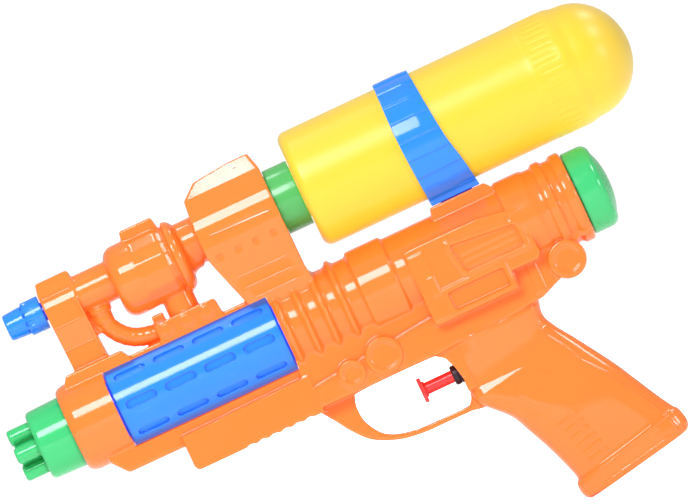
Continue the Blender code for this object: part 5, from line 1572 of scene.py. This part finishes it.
surface(FINISHES["yellow_plastic"], {"Sheen Weight": 0.15})
surface(FINISHES["clear_hose"], {"Transmission Weight": 0.3, "IOR": 1.4})
surface(FINISHES["steel"], {"Metallic": 1})


def present(obj, name, body, slot, *nodes, sharp=35, finish=None):
    """Makes a bench object a named piece that rides on a body in place of CAD nodes."""
    obj.name = name
    obj.data.name = name
    obj.data.materials.clear()
    obj.data.materials.append(FINISHES[finish or slot])
    obj.data.shade_smooth()
    obj.data.set_sharp_from_angle(angle=math.radians(sharp))
    bench.objects.unlink(obj)
    bpy.context.scene.collection.objects.link(obj)
    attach(obj, body)
    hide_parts(*nodes)
    return obj


# Stage

CAMERA_DISTANCE = 4.0
VIEW_WIDTH = 284.1
VIEW_CENTRE = (-57.0, 94.3)
VIEW_ROLL = 25.1
SENSOR = 36.0


def place_camera():
    """Long lens square to the left side, turned so that the muzzle points down and to the left."""
    data = bpy.data.cameras.new("camera")
    data.sensor_width = SENSOR
    data.lens = SENSOR * CAMERA_DISTANCE / (VIEW_WIDTH * MM)
    camera = bpy.data.objects.new("camera", data)
    bpy.context.scene.collection.objects.link(camera)
    roll = math.radians(VIEW_ROLL)
    right = Vector((math.cos(roll), 0, -math.sin(roll)))
    up = Vector((math.sin(roll), 0, math.cos(roll)))
    turn = Matrix((right, up, (0, -1, 0))).transposed().to_4x4()
    spot = Vector((VIEW_CENTRE[0] * MM, -CAMERA_DISTANCE, VIEW_CENTRE[1] * MM))
    camera.matrix_world = Matrix.Translation(spot) @ turn
    bpy.context.scene.camera = camera


SOFTBOX_TINT = (1.0, 1.0, 1.12)
ROOM_TINT = (1, 0.985, 0.97, 1)
ROOM_LIGHT = 0.25
ROOM_GLOSS = 0.35
BACKDROP_LIGHT = 1.05


def softbox(
    name, azimuth, elevation, distance, width, height, radiance, shift=0.0, diffuse=True, gloss=True
):
    """Area light that looks at the object from two angles in degrees, moved along X by a shift."""
    data = bpy.data.lights.new(name, "AREA")
    data.shape = "RECTANGLE"
    data.size, data.size_y = width, height
    data.energy = radiance * math.pi * width * height
    data.color = SOFTBOX_TINT
    light = bpy.data.objects.new(name, data)
    bpy.context.scene.collection.objects.link(light)
    a, e = math.radians(azimuth), math.radians(elevation)
    back = Vector((math.sin(a) * math.cos(e), -math.cos(a) * math.cos(e), math.sin(e)))
    spot = (cad_low + cad_high) / 2 + back * distance + Vector((shift, 0, 0))
    turn = (-back).to_track_quat("-Z", "Y").to_matrix().to_4x4()
    light.matrix_world = Matrix.Translation(spot) @ turn
    light.visible_camera = False
    light.visible_diffuse = diffuse
    light.visible_glossy = gloss


def place_lights():
    """Soft boxes round the object, and cards that show in the gloss alone, in a pale room."""
    softbox("key_softbox", 0, 36, 1.2, 0.62, 0.38, 14.0, shift=-0.23)
    softbox("top_softbox", 0, 78, 1.2, 0.9, 0.5, 2.6, gloss=False)
    softbox("low_card", 61.5, 3.5, 1.2, 0.26, 0.22, 11.0, diffuse=False)
    softbox("side_card", 74, 34, 1.2, 0.26, 0.26, 11.0, diffuse=False)
    softbox("high_card", 113, 48, 1.2, 0.28, 0.28, 8.0, diffuse=False)
    softbox("rear_softbox", 80, 30, 1.2, 0.5, 0.5, 2.0, gloss=False)
    softbox("roof_card", 180, 85, 1.1, 0.06, 0.2, 14.0, shift=-0.034, diffuse=False)
    softbox("back_softbox", 180, 36, 1.3, 0.7, 0.42, 2.0, gloss=False)
    world = bpy.data.worlds.new("pale_room")
    bpy.context.scene.world = world
    world.use_nodes = True
    nodes = Nodes(world.node_tree)
    room = world.node_tree.nodes["Background"]
    room.inputs["Color"].default_value = ROOM_TINT
    ray = nodes.add("ShaderNodeLightPath").outputs
    gloss = nodes.math("MULTIPLY", ray["Is Glossy Ray"], ROOM_GLOSS)
    nodes.feed(room.inputs["Strength"], nodes.math("ADD", gloss, ROOM_LIGHT))
    backdrop = nodes.add("ShaderNodeBackground", {"Color": WHITE, "Strength": BACKDROP_LIGHT})
    shaders = {0: ray["Is Camera Ray"], 1: room.outputs[0], 2: backdrop.outputs[0]}
    both = nodes.add("ShaderNodeMixShader", shaders).outputs[0]
    nodes.feed(world.node_tree.nodes["World Output"].inputs["Surface"], both)


FLOOR_R = 6.0
FLOOR_DROP = 0.0002
FLOOR_GLOW = 1.2
FLOOR_BOUNCE = 0.42


def place_floor():
    """Plain white floor under the butt of the grip, as bright to the camera as the room behind."""
    shape = bmesh.new()
    bmesh.ops.create_circle(shape, cap_ends=True, segments=FINE, radius=FLOOR_R)
    floor = bench_mesh(shape)
    floor.name = "floor"
    floor.data.transform(Matrix.Translation((0, 0, cad_low.z - FLOOR_DROP)))
    material = bpy.data.materials.new("floor_paper")
    material.use_nodes = True
    nodes = Nodes(material.node_tree)
    shader = material.node_tree.nodes["Principled BSDF"].outputs[0]
    fibre = nodes.noise(nodes.place(), 900.0, 3.0)
    paper = nodes.mix(fibre, (0.93, 0.93, 0.93, 1), (0.96, 0.96, 0.96, 1))
    looks = {"Base Color": paper, "Roughness": 0.9, "Specular IOR Level": 0.1}
    surface(material, {**looks, "Emission Color": WHITE, "Emission Strength": FLOOR_BOUNCE})
    glow = nodes.add("ShaderNodeEmission", {"Strength": FLOOR_GLOW}).outputs[0]
    lit = nodes.add("ShaderNodeAddShader", {0: shader, 1: glow}).outputs[0]
    seen = nodes.add("ShaderNodeLightPath").outputs["Is Camera Ray"]
    both = nodes.add("ShaderNodeMixShader", {0: seen, 1: shader, 2: lit}).outputs[0]
    nodes.feed(material.node_tree.nodes["Material Output"].inputs["Surface"], both)
    floor.data.materials.append(material)


place_camera()
place_lights()
place_floor()
bpy.context.scene.view_settings.view_transform = "Standard"

left, right = make_shells()
present(left, "left_shell_moulding", "body", "orange_plastic", "left_shell")
present(right, "right_shell_moulding", "body", "orange_plastic", "right_shell")
present(make_muzzle(), "muzzle_moulding", "body", "green_plastic", "muzzle")
sleeve = make_sleeve()
present(sleeve, "sleeve_moulding", "body", "blue_plastic", "barrel_sleeve", finish="sleeve_plastic")
present(make_upper_nozzle(), "upper_nozzle_moulding", "body", "blue_plastic", "upper_nozzle")
present(make_rear_cap(), "rear_cap_moulding", "body", "green_plastic", "rear_cap")
present(make_collar(), "collar_moulding", "body", "leaf_green_plastic", "tank_collar")
present(make_strap(), "strap_moulding", "body", "blue_plastic", "tank_strap")
present(make_tank(), "tank_bottle", "tank", "yellow_plastic", "tank", sharp=50)
present(make_trigger(), "trigger_moulding", "trigger", "red_plastic", "trigger")
present(make_gland(), "gland_ring", "body", "black_rubber", "pump_gland")
for number, (x, height) in enumerate(SCREW_SPOTS, 1):
    present(make_screw(x, height), f"pan_screw_{number}", "body", "steel", f"shell_screw_{number}")
spring = present(make_spring(), "wire_spring", "body", "steel", "return_spring")
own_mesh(spring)

INSIDE_FINISHES = {
    "jet_nozzle": "white_plastic",
    "pump_cylinder": "white_plastic",
    "valve_body": "white_plastic",
    "piston_seal": "black_rubber",
    "tank_gasket": "black_rubber",
    "outlet_hose": "clear_hose",
    "intake_hose": "clear_hose",
    "inlet_ball": "steel",
    "outlet_ball": "steel",
}
for node, finish in INSIDE_FINISHES.items():
    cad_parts[node].data.materials[0] = FINISHES[finish]

bpy.context.scene.collection.children.unlink(bench)
bpy.context.scene.collection.objects.link(bpy.data.objects["floor"])
